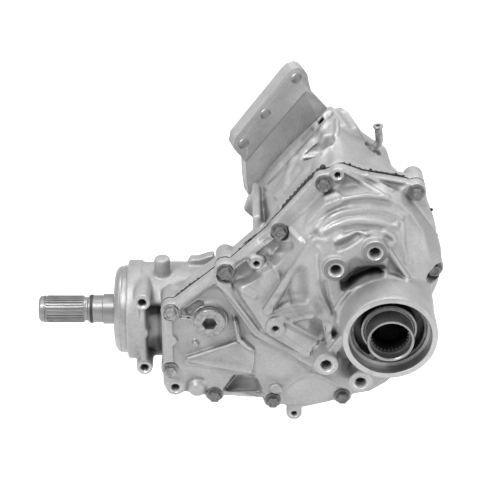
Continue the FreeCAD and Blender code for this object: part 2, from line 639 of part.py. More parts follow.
def case_tower():
    """Tall top of the case that carries the bracket."""
    foot = slab([(64.2, -0.9), (66.7, 2.9), (71.8, -2.8), (79.3, -1), (96.6, -25.4), (94.7, -33.1),
                 (101.2, -44.4), (114, -58), (118, -80), (112, -110), (60, -120), (2, -146), (-5, -130),
                 (-14, -113), (-9, -99), (-15.7, -83.2), (3.9, -61.5)], -FOOT_THICK, 0, 3.0, leaning)
    near = beside([(-118, 112), (-112, 134), (-104, 143), (-75, 180), (-60, 191), (-44, 197), (-26, 189),
                   (6, 170), (24, 120), (14, 80), (-96, 80)])
    far = beside([(-122, 112), (-121, 132), (-112, 146), (-72, 188), (-58, 203), (-47, 205), (-30, 190),
                  (6, 165), (22, 118), (12, 80), (-96, 80)])
    wires = [outline([front(u, v, y) for u, v in points], 6.0)
             for points, y in ((near, SEAM_Y + 4), (far, 46))]
    core = Part.makeLoft(wires, True, True)
    hump = drafted([(60, 0), (68, 4), (76, -4), (82, -2), (98, -26), (90, -60), (58, -30)],
                   -FOOT_THICK + 2, -44, 0.8, 4.0, leaning)
    walls = ribs([(59, -7), (3, -67), (-12, -88)], 5.0, -19, -6, leaning)
    walls += ribs(beside([(-125, 134), (-118, 90)]), 8.0, -50, 20)
    walls += [slab(beside([(-133, 133), (-138, 117.5), (-125, 104.5), (-118, 112), (-118, 130)]), -2, 6, 1.0)]
    return [foot, core, hump] + walls


def tower_alcove():
    """Half-moon hollow in front of the foot, open at the top."""
    plan = [V(OUTPUT_X + u, y, ALCOVE_FLOOR)
            for u, y in ((-82, 2), (-80, -10), (-70, -18), (-60, -21), (-53, -18), (-49, -8), (-49, 2),
                         (-60, 5))]
    return Part.Face(outline(plan, 5.0)).extrude(Z * 80)


def case_inner():
    """Everything taken out of the main case."""
    x0, x1 = RING_CHAMBER
    tools = [drafted(MAIN_OPENING, SEAM_Y, 24, 0.82, 10.0), slab(LEFT_OPENING, SEAM_Y, -50, 6.0)]
    tools += [rod(ORIGIN + X * (INPUT_FRONT_X + INPUT_FRONT[2]), X, INPUT_FRONT[1] - 4, 30)]
    tools += [rod(ORIGIN + X * WAIST_END, X, INPUT_CHAMBER_R, INPUT_REAR_X - WAIST_END - 3)]
    tools += [rod(ORIGIN, X, CAP_R + SEAT_GAP, CAP_SEAT), rod(ORIGIN, X, CAP_ROOT_R + SEAT_GAP, CAP_SINK)]
    tools += [rod(ORIGIN, X, INPUT_FRONT[1] - 4, INPUT_FRONT_X + 1)]
    tools += [hub_seat(INPUT_FRONT, X * INPUT_FRONT_X, X)]
    tools += [rod(X * (INPUT_REAR_X - 5), X, INPUT_REAR[1] - 3, 24)]
    tools += [hub_seat(INPUT_REAR, X * INPUT_REAR_X, X)]
    left_end = COUNTER_LEFT_X + COUNTER_LEFT[2]
    tools += [rod(COUNTER + X * (left_end - 1), X, COUNTER_HUB_R - 6, x0 - left_end + 3)]
    tools += [hub_seat(COUNTER_LEFT, COUNTER + X * COUNTER_LEFT_X, X)]
    tools += [turned([(x0, 0), (x0, RING_CHAMBER_R), (x1, RING_CHAMBER_R), (x1 + 6, RING_CHAMBER_R - 4),
                      (COUNTER_RIGHT_X - 5, 44), (COUNTER_RIGHT_X + 1, 40), (COUNTER_RIGHT_X + 1, 0)],
                     COUNTER, X)]
    tools += [hub_seat(COUNTER_RIGHT, COUNTER + X * COUNTER_RIGHT_X, X)]
    tools += [rod(OUTPUT + Y * SEAM_Y, Y, PINION_HEAD[1], 60)]
    tools += [post(u, v, SEAM_Y, SEAM_Y + BOLT_REACH, BOLT_R + THREAD_GAP) for u, v in SEAM_BOLTS]
    tools += [post(*HOLE_CORNER, SEAM_Y, SEAM_Y + 30, CORNER_HOLE_R)]
    tools += [post(*HOLE_TOP, SEAM_Y, TOP_HOLE_END, SMALL_HOLE_R)]
    tools += [rod(V(EAR_X, EAR_FACE, z), Y, EAR_HOLE_R, EAR_HOLE_DEPTH) for z in EARS]
    tools += [rod(V(DRAIN_X, COUNTER_Y, DRAIN_FACE), Z, PLUG_R + THREAD_GAP, 40)]
    tools += [rod(VENT_AT, VENT_ALONG * -1, VENT_R + 0.05, 40), rod(VENT_AT, VENT_ALONG, 10.0, 30)]
    tools += [slab([(-60, -106), (90, -106), (90, 60), (-60, 60)], 0, 70, 0, leaning)]
    tools += [Part.makeBox(500, 60, 500, V(-100, SEAM_Y - 60, -200))]
    tools += [slab([(44, 10), (78, -32), (66, -40), (30, -6)], -22, -FOOT_THICK + 5, 3.0, leaning).common(
        slab([(50, 0), (66, -14), (62, -20), (44, -4)], -40, 0, 2.0, leaning))]
    tools += [tower_alcove()]
    tools += [rod(leaning(u, v, 1), leaning(0, 0, -1) - leaning(0, 0, 0), BOLT_R + THREAD_GAP, 16)
              for u, v in BRACKET_BOLTS]
    tools += [rod(V(96, -50, 20), X, 4.0, 40)]
    return tools + dowel_holes()


def rear_case():
    return case_outer().cut(case_inner())


def cover_gasket():
    """Seam seal with the small lumps that squeeze out of it."""
    sheet = slab(SEAM_OUTLINE, COVER_BACK, SEAM_Y, 5.0)
    spots = [(66, 63.5), (74, 70)] + beside([(-141, 104), (-132, 113), (-96, 157), (-84, 171), (-38, 196),
                                             (-18, 190.5), (6, 186), (42, 148), (48.5, 120)])
    lumps = [post(u, v, COVER_BACK, SEAM_Y, 1.6) for u, v in spots]
    bosses = [post(u, v, COVER_BACK, SEAM_Y, BOSS_R) for u, v in SEAM_BOLTS]
    tools = [slab(MAIN_OPENING, COVER_BACK, SEAM_Y, 8.0), slab(LEFT_OPENING, COVER_BACK, SEAM_Y, 6.0)]
    tools += seam_holes(COVER_BACK, SEAM_Y, BOLT_R + BOLT_GAP) + dowel_holes()
    tools += [post(*HOLE_CORNER, COVER_BACK, SEAM_Y, CORNER_HOLE_R)]
    tools += [post(*at, COVER_BACK, SEAM_Y, SMALL_HOLE_R) for at in (HOLE_TOP, HOLE_BOTTOM)]
    return sheet.fuse(lumps + bosses).cut(tools)


def flange_bolt(seat, along, reach):
    """Hexagon bolt with a round flange; along points from the head to the tip."""
    back = along * -1
    parts = [rod(seat, along, BOLT_R, reach), rod(seat, back, BOLT_FLANGE_R, BOLT_FLANGE)]
    head = hexagon(2 * BOLT_HEAD_R, BOLT_HEAD, seat + back * BOLT_FLANGE, back)
    dish = rod(seat + back * (BOLT_FLANGE + BOLT_HEAD - 0.8), back, 3.6, 2)
    return parts[0].fuse([parts[1], head]).cut(dish)


def seam_bolts():
    reach = SEAM_Y + BOLT_REACH - 3 - (COVER_FRONT - 1)
    return Part.makeCompound([flange_bolt(V(u, COVER_FRONT - 1, v), Y, reach) for u, v in SEAM_BOLTS])


def bracket_plate():
    edge = [(33.5, 46.2), (26.8, 44.7), (21.7, 40.5), (-31.5, -21.7), (-33.5, -33), (-20.5, -50),
            (-19.5, -72), (-17, -90), (-2, -104), (40, -92), (72, -52), (80, -20), (64, -1), (47.6, 17.9),
            (45, 26.9), (42.7, 37.4), (39.3, 43.4)]
    plate = slab(edge, -0.7, BRACKET_THICK, 4.0, leaning)
    step = slab([(41, 20), (100, -20), (60, -130), (-40, -90), (-19, -47)], -1, 0, 0, leaning)
    into = leaning(0, 0, 1) - leaning(0, 0, 0)
    through = BRACKET_THICK + 4
    holes = [rod(leaning(u, v, -2), into, BRACKET_HOLE_R, through) for u, v in BRACKET_HOLES]
    holes += [rod(leaning(u, v, -2), into, BOLT_R + BOLT_GAP, through) for u, v in BRACKET_BOLTS]
    return plate.cut(holes + [step])


def bracket_bolts():
    into = leaning(0, 0, -1) - leaning(0, 0, 0)
    return Part.makeCompound([flange_bolt(leaning(u, v, BRACKET_THICK), into, BRACKET_THICK + FOOT_THICK)
                              for u, v in BRACKET_BOLTS])


def pilot_cap():
    bore = 26.0
    profile = [(-CAP_SINK, bore + 6), (-CAP_SINK, CAP_ROOT_R), (0, CAP_ROOT_R), (0, CAP_R), (5, CAP_R),
               (5.6, CAP_R - 0.8), (6.6, CAP_R - 0.8), (7.4, CAP_R - 0.2), (11, CAP_R - 2.5),
               (13, CAP_R - 5.5), (CAP_LENGTH, CAP_R - 9), (CAP_LENGTH, bore + 2),
               (CAP_LENGTH - 1.5, bore), (2, bore), (2, bore - 4), (-1, bore - 4), (-1, bore + 6)]
    return turned(profile, ORIGIN, -X)


def lip_seal(start, along, outer, lip, width):
    """Rubber seal: outer band, web and the lip on the shaft."""
    return turned([(0, lip + 3), (0, outer), (width, outer), (width, outer - 2.5), (2.5, outer - 2.5),
                   (2.5, lip + 4), (width * 0.7, lip + 2.5), (width * 0.7, lip + 0.3),
                   (width * 0.4, lip + 0.05), (width * 0.15, lip + 0.3)], start, along)


def input_shaft():
    profile = [(SHAFT_TIP, 0), (SHAFT_TIP, 12.0), (SHAFT_TIP + 1.8, 13.6), (-88, 13.6), (-88, 12.3),
               (-86.8, 12.3), (-86.8, SPLINE_ROOT_R), (SPLINE[1], SPLINE_ROOT_R), (-45, 12.4),
               (-42.5, 12.4), (-41.4, 14.4), (-40.0, 14.4), (-40.0, 12.9), (-37.1, 12.9),
               (-37.1, JOURNAL_R), (-26.9, JOURNAL_R), (-26.4, COLLAR_R), (-15, COLLAR_R), (-13, 16.0),
               (INPUT_FRONT_X - 1, 16.0),
               (INPUT_FRONT_X - 1, INPUT_R), (SPUR[0] - 6, INPUT_R), (SPUR[0] - 6, 19), (SPUR[0], 19),
               (SPUR[0], INPUT_R), (INPUT_REAR_X, INPUT_R), (INPUT_REAR_X, INPUT_END_R),
               (INPUT_END - 1, INPUT_END_R), (INPUT_END, INPUT_END_R - 1), (INPUT_END, 0)]
    shaft = turned(profile, ORIGIN, X)
    key = spline_key(SPLINE_R, SPLINE_ROOT_R, SPLINE_TEETH, *SPLINE)
    return shaft.fuse(around(key, ORIGIN, X, SPLINE_TEETH))


def spline_key(outer, root, teeth, start, end):
    """One external spline tooth along X at the top, with run out slopes."""
    wide = math.pi * root / teeth * 1.1
    thin = math.pi * outer / teeth * 0.62
    low = root - 0.4
    wire = Part.makePolygon([V(start, -wide / 2, low), V(start, wide / 2, low), V(start, thin / 2, outer),
                             V(start, -thin / 2, outer), V(start, -wide / 2, low)])
    key = Part.Face(wire).extrude(X * (end - start))
    ease = turned([(start - 1, 0), (start - 1, root), (start + 1, outer), (end - 1.5, outer), (end + 1, root),
                   (end + 1, 0)], ORIGIN, X)
    return key.common(ease)


def countershaft():
    end = COUNTER_RIGHT_X + COUNTER_RIGHT[2]
    flange = RING_FLANGE_X
    seat = OUTPUT_X - RING_BACK
    spigot_r = RING_BORE_R - SEAT_GAP
    start = COUNTER_LEFT_X + RUN_GAP
    profile = [(start, 0), (start, COUNTER_LEFT[0] - 1), (start + 1, COUNTER_LEFT[0]),
               (COUNTER_LEFT_X + COUNTER_LEFT[2], COUNTER_LEFT[0]), (COUNTER_LEFT_X + COUNTER_LEFT[2], 17),
               (SPUR[1] + 1, 17), (SPUR[1] + 1, 22), (flange, 26), (flange, RING_FLANGE_R),
               (seat, RING_FLANGE_R), (seat, spigot_r), (seat + 6, spigot_r), (seat + 8, 24),
               (COUNTER_RIGHT_X, 20), (COUNTER_RIGHT_X, COUNTER_RIGHT[0]),
               (end - 1, COUNTER_RIGHT[0]), (end - RUN_GAP, COUNTER_RIGHT[0] - 0.6), (end - RUN_GAP, 0)]
    shaft = turned(profile, COUNTER, X)
    holes = [rod(COUNTER + X * (flange - 1) + Z * RING_BOLT_CIRCLE, X, BOLT_R + BOLT_GAP, 20)]
    return shaft.cut(around(holes[0], COUNTER, X, RING_BOLT_COUNT))


def driven_gear():
    """Gear on the countershaft, with a tooth space toward the input shaft."""
    toward = math.atan2(-OUTPUT_Z, -COUNTER_Y)
    wheel = spur_on_x(DRIVEN_TEETH, toward + math.pi / DRIVEN_TEETH, COUNTER)
    return wheel.cut(rod(COUNTER + X * SPUR[0], X, 17 + SEAT_GAP, SPUR[1] - SPUR[0]))


def spur_on_x(teeth, angle, at):
    """Spur wheel about X; the angle is measured from +Y toward +Z."""
    wheel = spur_wheel(teeth, 0)
    wheel.Placement = FreeCAD.Placement(ORIGIN, FreeCAD.Rotation(Y, Z, X, "ZXY"))
    wheel.rotate(ORIGIN, X, math.degrees(angle))
    return wheel.translated(at + X * SPUR[0])


def input_gear():
    toward = math.atan2(OUTPUT_Z, COUNTER_Y)
    wheel = spur_on_x(INPUT_TEETH, toward, ORIGIN)
    return wheel.cut(rod(X * SPUR[0], X, INPUT_R + SEAT_GAP, SPUR[1] - SPUR[0]))


def ring_gear():
    """Ring gear: apex on the output line, teeth toward it, one tooth facing the pinion."""
    pitch = BEVEL_MODULE * RING_TEETH / 2
    mate = BEVEL_MODULE * PINION_TEETH / 2
    outer, inner = root_cone(pitch, mate)
    blank = [(RING_BACK, RING_BORE_R), (RING_BACK, outer[1] + 1), outer, inner, (inner[0], RING_BORE_R)]
    gear = bevel_gear(RING_TEETH, PINION_TEETH, blank, 0)
    turn = FreeCAD.Rotation(-Y, Z, -X, "ZXY")
    gear.Placement = FreeCAD.Placement(V(OUTPUT_X, COUNTER_Y, OUTPUT_Z), turn)
    start = V(OUTPUT_X - RING_BACK, COUNTER_Y, OUTPUT_Z + RING_BOLT_CIRCLE)
    hole = rod(start, X, BOLT_R + THREAD_GAP, 9)
    at = V(0, COUNTER_Y, OUTPUT_Z)
    return gear.cut(around(hole, at, X, RING_BOLT_COUNT))


def ring_bolts():
    seat = COUNTER + X * RING_FLANGE_X + Z * RING_BOLT_CIRCLE
    bolt = hexagon(12, 6, seat, -X).fuse(rod(seat, X, BOLT_R, 19.0))
    return Part.makeCompound(around(bolt, COUNTER, X, RING_BOLT_COUNT))


def pinion():
    """Pinion with its stem, a tooth space toward the ring gear."""
    pitch = BEVEL_MODULE * PINION_TEETH / 2
    mate = BEVEL_MODULE * RING_TEETH / 2
    outer, inner = root_cone(pitch, mate)
    head = COUNTER_Y - PINION_HEAD_Y
    tail = COUNTER_Y - PINION_TAIL_Y
    nut = COUNTER_Y - NUT_SEAT - RUN_GAP / 2
    blank = [(inner[0], 0), inner, outer, (head - 1.5, 22), (head, 22), (head, PINION_HEAD[0]),
             (head + PINION_HEAD[2], PINION_HEAD[0]), (head + PINION_HEAD[2], 16.4), (tail, 16.4),
             (tail, PINION_TAIL[0]), (nut, PINION_TAIL[0]), (nut, THREAD_R), (nut + 11, THREAD_R),
             (nut + 12, THREAD_R - 1), (nut + 12, 0)]
    gear = bevel_gear(PINION_TEETH, RING_TEETH, blank, 180.0 / PINION_TEETH)
    turn = FreeCAD.Rotation(-X, Z, -Y, "ZXY")
    gear.Placement = FreeCAD.Placement(V(OUTPUT_X, COUNTER_Y, OUTPUT_Z), turn)
    return gear


def output_sleeve():
    """Hollow sleeve that takes the propeller shaft, with splines in its mouth."""
    start = -(PINION_TAIL_Y - PINION_TAIL[2]) + 0.2
    mouth = -SLEEVE_MOUTH
    sleeve = turned([(start, PINION_TAIL[0] + SEAT_GAP), (start, 20), (start + 5, SLEEVE_R),
                     (mouth - 1, SLEEVE_R), (mouth, SLEEVE_R - 0.6), (mouth, MOUTH_R + 1),
                     (mouth - 1, MOUTH_R), (mouth - 9, MOUTH_R), (mouth - 9, SPLINE_BORE_R),
                     (-NUT_SEAT, SPLINE_BORE_R),
                     (-NUT_SEAT, PINION_TAIL[0] + SEAT_GAP)], OUTPUT, -Y)
    key = Part.makeBox(1.6, 12, 1.6, V(-0.8, -mouth + 12, SPLINE_BORE_R - 1.1)).translated(OUTPUT)
    return sleeve.fuse(around(key, OUTPUT, Y, 30))


def pinion_nut():
    seat = OUTPUT + Y * NUT_SEAT
    return hexagon(27, 8, seat, -Y).cut(rod(seat, -Y, THREAD_R + THREAD_GAP, 8))


def pinion_spacer():
    start = -PINION_HEAD_Y + PINION_HEAD[2]
    end = -PINION_TAIL_Y
    mid = (start + end) / 2
    return turned([(start, 16.6), (start, 19), (mid - 4, 19), (mid, 21.5), (mid + 4, 19), (end, 19),
                   (end, 16.6), (mid + 3, 16.6), (mid, 19), (mid - 3, 16.6)], OUTPUT, -Y)


def dust_ring():
    """Bright ring pressed on the sleeve in front of the seal."""
    return turned([(123.0, SLEEVE_R + SEAT_GAP), (123.0, 26.5), (125.0, 26.5), (125.0, 24.6),
                   (126.5, SLEEVE_R + 0.6), (126.5, SLEEVE_R + SEAT_GAP)], OUTPUT, -Y)


def snap_ring(at, along, outer, thick, width):
    """Open ring with two lugs at its gap, which points down."""
    body = ring(at, along, outer, outer - width, thick)
    body = body.cut(Part.makeBox(26, 60, 60, V(-13, -30, -60)).translated(at))
    lugs = []
    for side in (-1, 1):
        spot = at + X * (15.5 * side) - Z * (outer - width - 4.0 + 1.0)
        lugs.append(rod(spot, along, 3.6, thick).cut(rod(spot, along, 1.1, thick)))
    return body.fuse(lugs)


def shaft_clip():
    """Wire clip in the groove near the tip of the input shaft."""
    clip = ring(X * -87.9, X, 14.0, 12.35, 1.0)
    clip = clip.cut(Part.makeBox(4, 5, 10, V(-90, -7, -18)))
    return clip.fuse(Part.makeBox(1.0, 1.6, 3.4, V(-87.9, -1.4, -16.0)))


def o_ring():
    return Part.makeTorus(13.95, 1.0, X * -38.55, X).fuse(ring(X * -39.9, X, 14.9, 12.95, 2.7))


def plug(seat, out):
    """Threaded plug with a sunk hexagon socket; out points to the outside."""
    body = rod(seat, out, PLUG_HEAD_R, PLUG_HEAD - 1)
    crown = Part.makeCone(PLUG_HEAD_R, PLUG_HEAD_R - 1, 1, seat + out * (PLUG_HEAD - 1), out)
    shank = rod(seat, out * -1, PLUG_R, PLUG_REACH + 5)
    socket = hexagon(PLUG_SOCKET, PLUG_HEAD + 6, seat + out * -5, out)
    return body.fuse([crown, shank]).cut(socket)


def washer(seat, out):
    return ring(seat, out, PLUG_HEAD_R + 0.8, PLUG_R + 0.3, WASHER)


def bent_pipe(points, radius, inner):
    """Pipe through the points, with a ball at every bend."""
    solid = []
    for a, b in zip(points, points[1:]):
        solid.append(rod(a, b - a, radius, (b - a).Length))
        solid.append(Part.makeSphere(radius, b))
    pipe = solid[0].fuse(solid[1:])
    end = points[-1] - points[-2]
    end.normalize()
    bead = Part.makeTorus(radius, 1.5, points[-1] - end * 1.0, end)
    tip = rod(points[-1], end, radius + 2, radius + 2)
    hole = rod(points[-1] - end * 14, end, inner, 16)
    return pipe.fuse(bead).cut([tip, hole])


def vent_tube():
    low = VENT_AT - VENT_ALONG * 8
    bend = VENT_AT + V(8.2, 0, 10.5)
    return bent_pipe([low, bend, bend + V(0.8, 0, 3.0), bend + V(-1.2, 0, 19.5)], VENT_R, 2.4)


def vent_collar():
    return ring(VENT_AT, VENT_ALONG, 8.0, VENT_R + 0.05, 2.4)


def parts():
    save("rear_case", rear_case())
    save("front_cover", front_cover())
    save("cover_gasket", cover_gasket())
    save("cover_bolts", seam_bolts())
    half = DOWEL_LENGTH / 2
    dowels = [post(u, v, SEAM_Y - half, SEAM_Y + half, DOWEL_R) for u, v in DOWELS]
    save("cover_dowels", Part.makeCompound(dowels))
    save("pilot_cap", pilot_cap())
    save("input_oil_seal", lip_seal(X * -2.5, -X, 26.0 - SEAT_GAP, 16.0, 9.0))
    save("support_bracket", bracket_plate())
    save("bracket_bolts", bracket_bolts())
    fill = V(FILL_AT.x, FILL_FACE, FILL_AT.z)
    save("fill_plug_washer", washer(fill, -Y))
    save("fill_plug", plug(fill - Y * WASHER, -Y))
    drain = V(DRAIN_X, COUNTER_Y, DRAIN_FACE)
    save("drain_plug_washer", washer(drain, -Z))
    save("drain_plug", plug(drain - Z * WASHER, -Z))
    save("drain_magnet", rod(drain + Z * (PLUG_REACH + 5 - WASHER), Z, 5.0, 4.0))
    save("vent_tube", vent_tube())
    save("vent_collar", vent_collar())
    save("output_oil_seal", lip_seal(OUTPUT + Y * (SEAL_FACE + SEAL_WIDTH), -Y, SEAL_R, SLEEVE_R, SEAL_WIDTH))
    save("output_snap_ring", snap_ring(OUTPUT + Y * (SEAL_FACE - 1.4), -Y, SEAL_R + 1.6, 1.6, 4.0))
    save("input_shaft", input_shaft())
    save("input_gear", input_gear())
    save("input_o_ring", o_ring())
    save("input_clip", shaft_clip())
    ball_bearing("input_bearing_front", INPUT_FRONT, X * INPUT_FRONT_X, X)
    ball_bearing("input_bearing_rear", INPUT_REAR, X * INPUT_REAR_X, X)
    save("countershaft", countershaft())
    save("driven_gear", driven_gear())
    save("ring_gear", ring_gear())
    save("ring_gear_bolts", ring_bolts())
    left_end = COUNTER_LEFT_X + COUNTER_LEFT[2]
    taper_bearing("counter_bearing_left", COUNTER_LEFT, COUNTER + X * COUNTER_LEFT_X, X)
    right_end = COUNTER_RIGHT_X + COUNTER_RIGHT[2]
    taper_bearing("counter_bearing_right", COUNTER_RIGHT, COUNTER + X * right_end, -X)
    save("pinion_shaft", pinion())
    head = V(OUTPUT_X, PINION_HEAD_Y - PINION_HEAD[2], OUTPUT_Z)
    taper_bearing("pinion_bearing_head", PINION_HEAD, head, Y)
    taper_bearing("pinion_bearing_tail", PINION_TAIL, V(OUTPUT_X, PINION_TAIL_Y, OUTPUT_Z), -Y)
    save("pinion_spacer", pinion_spacer())
    save("output_sleeve", output_sleeve())
    save("pinion_nut", pinion_nut())
    save("output_dust_ring", dust_ring())


os.makedirs("parts", exist_ok=True)
parts()
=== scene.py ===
"""Looks of the transfer case: soft cast skins with their ridges and hollows, eased machined
pieces, turned faces round the holes, and every finish."""
import json
import math

import bmesh
import bpy
import numpy as np
from mathutils import Matrix, Vector

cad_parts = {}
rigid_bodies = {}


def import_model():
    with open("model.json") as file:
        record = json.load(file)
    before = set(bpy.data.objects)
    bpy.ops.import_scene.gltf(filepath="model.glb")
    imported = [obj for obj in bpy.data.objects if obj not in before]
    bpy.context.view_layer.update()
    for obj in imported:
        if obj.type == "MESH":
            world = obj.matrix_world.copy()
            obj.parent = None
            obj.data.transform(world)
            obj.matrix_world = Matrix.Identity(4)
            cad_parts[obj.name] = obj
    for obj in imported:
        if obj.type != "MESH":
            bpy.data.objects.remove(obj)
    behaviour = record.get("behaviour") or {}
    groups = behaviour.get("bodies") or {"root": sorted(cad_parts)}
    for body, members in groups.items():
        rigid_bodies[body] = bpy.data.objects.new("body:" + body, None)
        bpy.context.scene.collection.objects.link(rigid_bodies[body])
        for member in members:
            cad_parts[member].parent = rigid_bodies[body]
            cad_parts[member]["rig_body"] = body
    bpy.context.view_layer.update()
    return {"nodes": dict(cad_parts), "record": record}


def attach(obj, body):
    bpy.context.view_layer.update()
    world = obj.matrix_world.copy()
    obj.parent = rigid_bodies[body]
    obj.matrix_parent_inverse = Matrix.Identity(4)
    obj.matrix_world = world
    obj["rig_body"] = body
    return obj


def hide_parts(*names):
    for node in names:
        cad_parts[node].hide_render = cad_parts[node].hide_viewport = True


MM = 0.001

# The camera, in metres, and the width of the photo's frame in pixels
EYE = (0.1148, -1.3127, 0.8403)
EYE_TILT = math.radians(60)
LENS = 112.5
SENSOR = 36.0
PICTURE = 480

# Places on the part, in millimetres
GEARBOX_FACE = 1.2
SEAM_Y = -55.4
CASE_FRONT = -54.2
TAPPED_FACE = -105
TUBE_R = 44.6
TUBE_CRISP_FROM = -92
MOUTH_Y = -140
SLEEVE_BORE = 20.4
SLEEVE_DARK_FROM = -137
SLEEVE_DARK_OVER = 24
EARS = ((17.4, 40.0), (17.4, -38.0))
EAR_FACE = -52
BRACKET_AT = (140.1, 40.0, 203.8)
BRACKET_TURN = math.radians(16)
BRACKET_HOLES = ((31.5, 34.7), (0.0, 0.0), (-22.6, -30.0))

# The studio, in metres
FLOOR_Z = -0.16
KEY_AIM = (0.12, 0, 0.05)
TOP_AIM = (0.15, 0, 0.05)

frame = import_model()
NODES = frame["nodes"]
BODY_OF = {node.name: node["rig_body"] for node in NODES.values()}


# Finishes

class Finish:
    """A material with its nodes, read in object coordinates."""

    def __init__(self, name, color, metallic, rough):
        self.material = bpy.data.materials.new(name)
        self.material.use_nodes = True
        self.tree = self.material.node_tree
        self.shader = self.tree.nodes["Principled BSDF"]
        self.shader.inputs["Metallic"].default_value = metallic
        self.shader.inputs["Roughness"].default_value = rough
        self.coords = self.tree.nodes.new("ShaderNodeTexCoord").outputs["Object"]
        self.color = None
        self.height = None
        self.base = color
        self.material.diffuse_color = (*color, 1)

    def noise(self, scale, detail, stretch=None, rough=0.5):
        node = self.tree.nodes.new("ShaderNodeTexNoise")
        node.inputs["Scale"].default_value = scale
        node.inputs["Detail"].default_value = detail
        node.inputs["Roughness"].default_value = rough
        source = self.coords
        if stretch is not None:
            mapping = self.tree.nodes.new("ShaderNodeMapping")
            mapping.inputs["Scale"].default_value = stretch
            self.tree.links.new(source, mapping.inputs["Vector"])
            source = mapping.outputs["Vector"]
        self.tree.links.new(source, node.inputs["Vector"])
        return node.outputs["Fac"]

    def ramp(self, source, stops):
        """Grey steps: a list of (place, level) pairs."""
        node = self.tree.nodes.new("ShaderNodeValToRGB")
        band = node.color_ramp
        while len(band.elements) < len(stops):
            band.elements.new(0.5)
        for element, (place, level) in zip(band.elements, stops):
            element.position = place
            element.color = (level, level, level, 1)
        self.tree.links.new(source, node.inputs["Fac"])
        return node.outputs["Color"]

    def tint(self, source, dark, bright, low=0.3, high=0.7):
        """Colour that runs between two shades of the base as the source does."""
        node = self.tree.nodes.new("ShaderNodeValToRGB")
        first, last = node.color_ramp.elements
        first.position, last.position = low, high
        first.color = (*[c * dark for c in self.base], 1)
        last.color = (*[min(1.0, c * bright) for c in self.base], 1)
        self.tree.links.new(source, node.inputs["Fac"])
        self.color = node.outputs["Color"]
        self.tree.links.new(self.color, self.shader.inputs["Base Color"])

    def multiply(self, source, amount=1.0):
        """Darkens the colour where the source is dark."""
        node = self.tree.nodes.new("ShaderNodeMix")
        node.data_type = "RGBA"
        node.blend_type = "MULTIPLY"
        node.inputs["Factor"].default_value = amount
        self.tree.links.new(self.color, node.inputs["A"])
        self.tree.links.new(source, node.inputs["B"])
        self.color = node.outputs["Result"]
        self.tree.links.new(self.color, self.shader.inputs["Base Color"])

    def creases(self, dark, edge):
        """Painted shade in the inner corners and paler worn outer corners."""
        point = self.tree.nodes.new("ShaderNodeNewGeometry").outputs["Pointiness"]
        self.multiply(self.ramp(point, [(0.40, dark), (0.485, 0.93), (0.51, 0.95), (0.60, edge)]))

    def occlusion_shade(self, distance, dark):
        """Painted shade: soft darkening where the surface lies close to another."""
        node = self.tree.nodes.new("ShaderNodeAmbientOcclusion")
        node.samples = 8
        node.inputs["Distance"].default_value = distance
        self.multiply(self.ramp(node.outputs["AO"], [(0.15, dark), (0.75, 1.0)]))

    def marked_shade(self):
        """Painted shade: darkens the places that the mesh marks as shaded."""
        node = self.tree.nodes.new("ShaderNodeAttribute")
        node.attribute_name = "painted_shade"
        self.multiply(self.ramp(node.outputs["Fac"], [(0.0, 1.0), (1.0, 0.03)]))

    def fade(self, start, end, level):
        """Darkens the colour to the right of a place, along the input shaft."""
        split = self.tree.nodes.new("ShaderNodeSeparateXYZ")
        self.tree.links.new(self.coords, split.inputs["Vector"])
        reach = self.tree.nodes.new("ShaderNodeMapRange")
        reach.inputs["From Min"].default_value = start
        reach.inputs["From Max"].default_value = end
        self.tree.links.new(split.outputs["X"], reach.inputs["Value"])
        self.multiply(self.ramp(reach.outputs["Result"], [(0.0, 1.0), (1.0, level)]))

    def gloss(self, source, low, high):
        """Roughness that runs between two levels as the source does."""
        self.tree.links.new(self.ramp(source, [(0.3, low), (0.7, high)]), self.shader.inputs["Roughness"])

    def bump(self, source, depth, strength):
        """Fine relief over any relief that is there already."""
        node = self.tree.nodes.new("ShaderNodeBump")
        node.inputs["Distance"].default_value = depth
        node.inputs["Strength"].default_value = strength
        self.tree.links.new(source, node.inputs["Height"])
        if self.height is not None:
            self.tree.links.new(self.height, node.inputs["Normal"])
        self.height = node.outputs["Normal"]
        self.tree.links.new(self.height, self.shader.inputs["Normal"])


def cast_metal(name, grey, rough, metallic=0.45, hollow=0.016):
    finish = Finish(name, (grey, grey, grey), metallic, rough)
    finish.tint(finish.noise(28, 5), 0.86, 1.10, 0.32, 0.68)
    finish.multiply(finish.ramp(finish.noise(420, 2), [(0.30, 0.86), (0.55, 1.0)]), 0.8)
    finish.multiply(finish.ramp(finish.noise(95, 6, rough=0.7), [(0.34, 0.82), (0.46, 1.0)]), 0.5)
    finish.creases(0.62, 1.22)
    # Painted shade near other surfaces, reaching as far as hollow says
    if hollow:
        finish.occlusion_shade(hollow, 0.42)
    finish.marked_shade()
    finish.gloss(finish.noise(60, 4), rough - 0.08, rough + 0.12)
    finish.bump(finish.noise(900, 2), 0.00012, 0.5)
    finish.bump(finish.noise(150, 4), 0.0004, 0.35)
    return finish.material


def turned_metal(name, grey, rough, streak=(1, 1, 1), hollow=0.006):
    finish = Finish(name, (grey, grey, grey), 0.75, rough)
    finish.tint(finish.noise(60, 4), 0.88, 1.10)
    finish.multiply(finish.ramp(finish.noise(500, 2, streak), [(0.3, 0.84), (0.6, 1.0)]), 0.7)
    # Painted shade near other surfaces, reaching as far as hollow says
    if hollow:
        finish.occlusion_shade(hollow, 0.4)
    finish.marked_shade()
    finish.gloss(finish.noise(180, 3, streak), rough - 0.07, rough + 0.12)
    finish.bump(finish.noise(700, 2, streak), 0.00006, 0.5)
    return finish.material


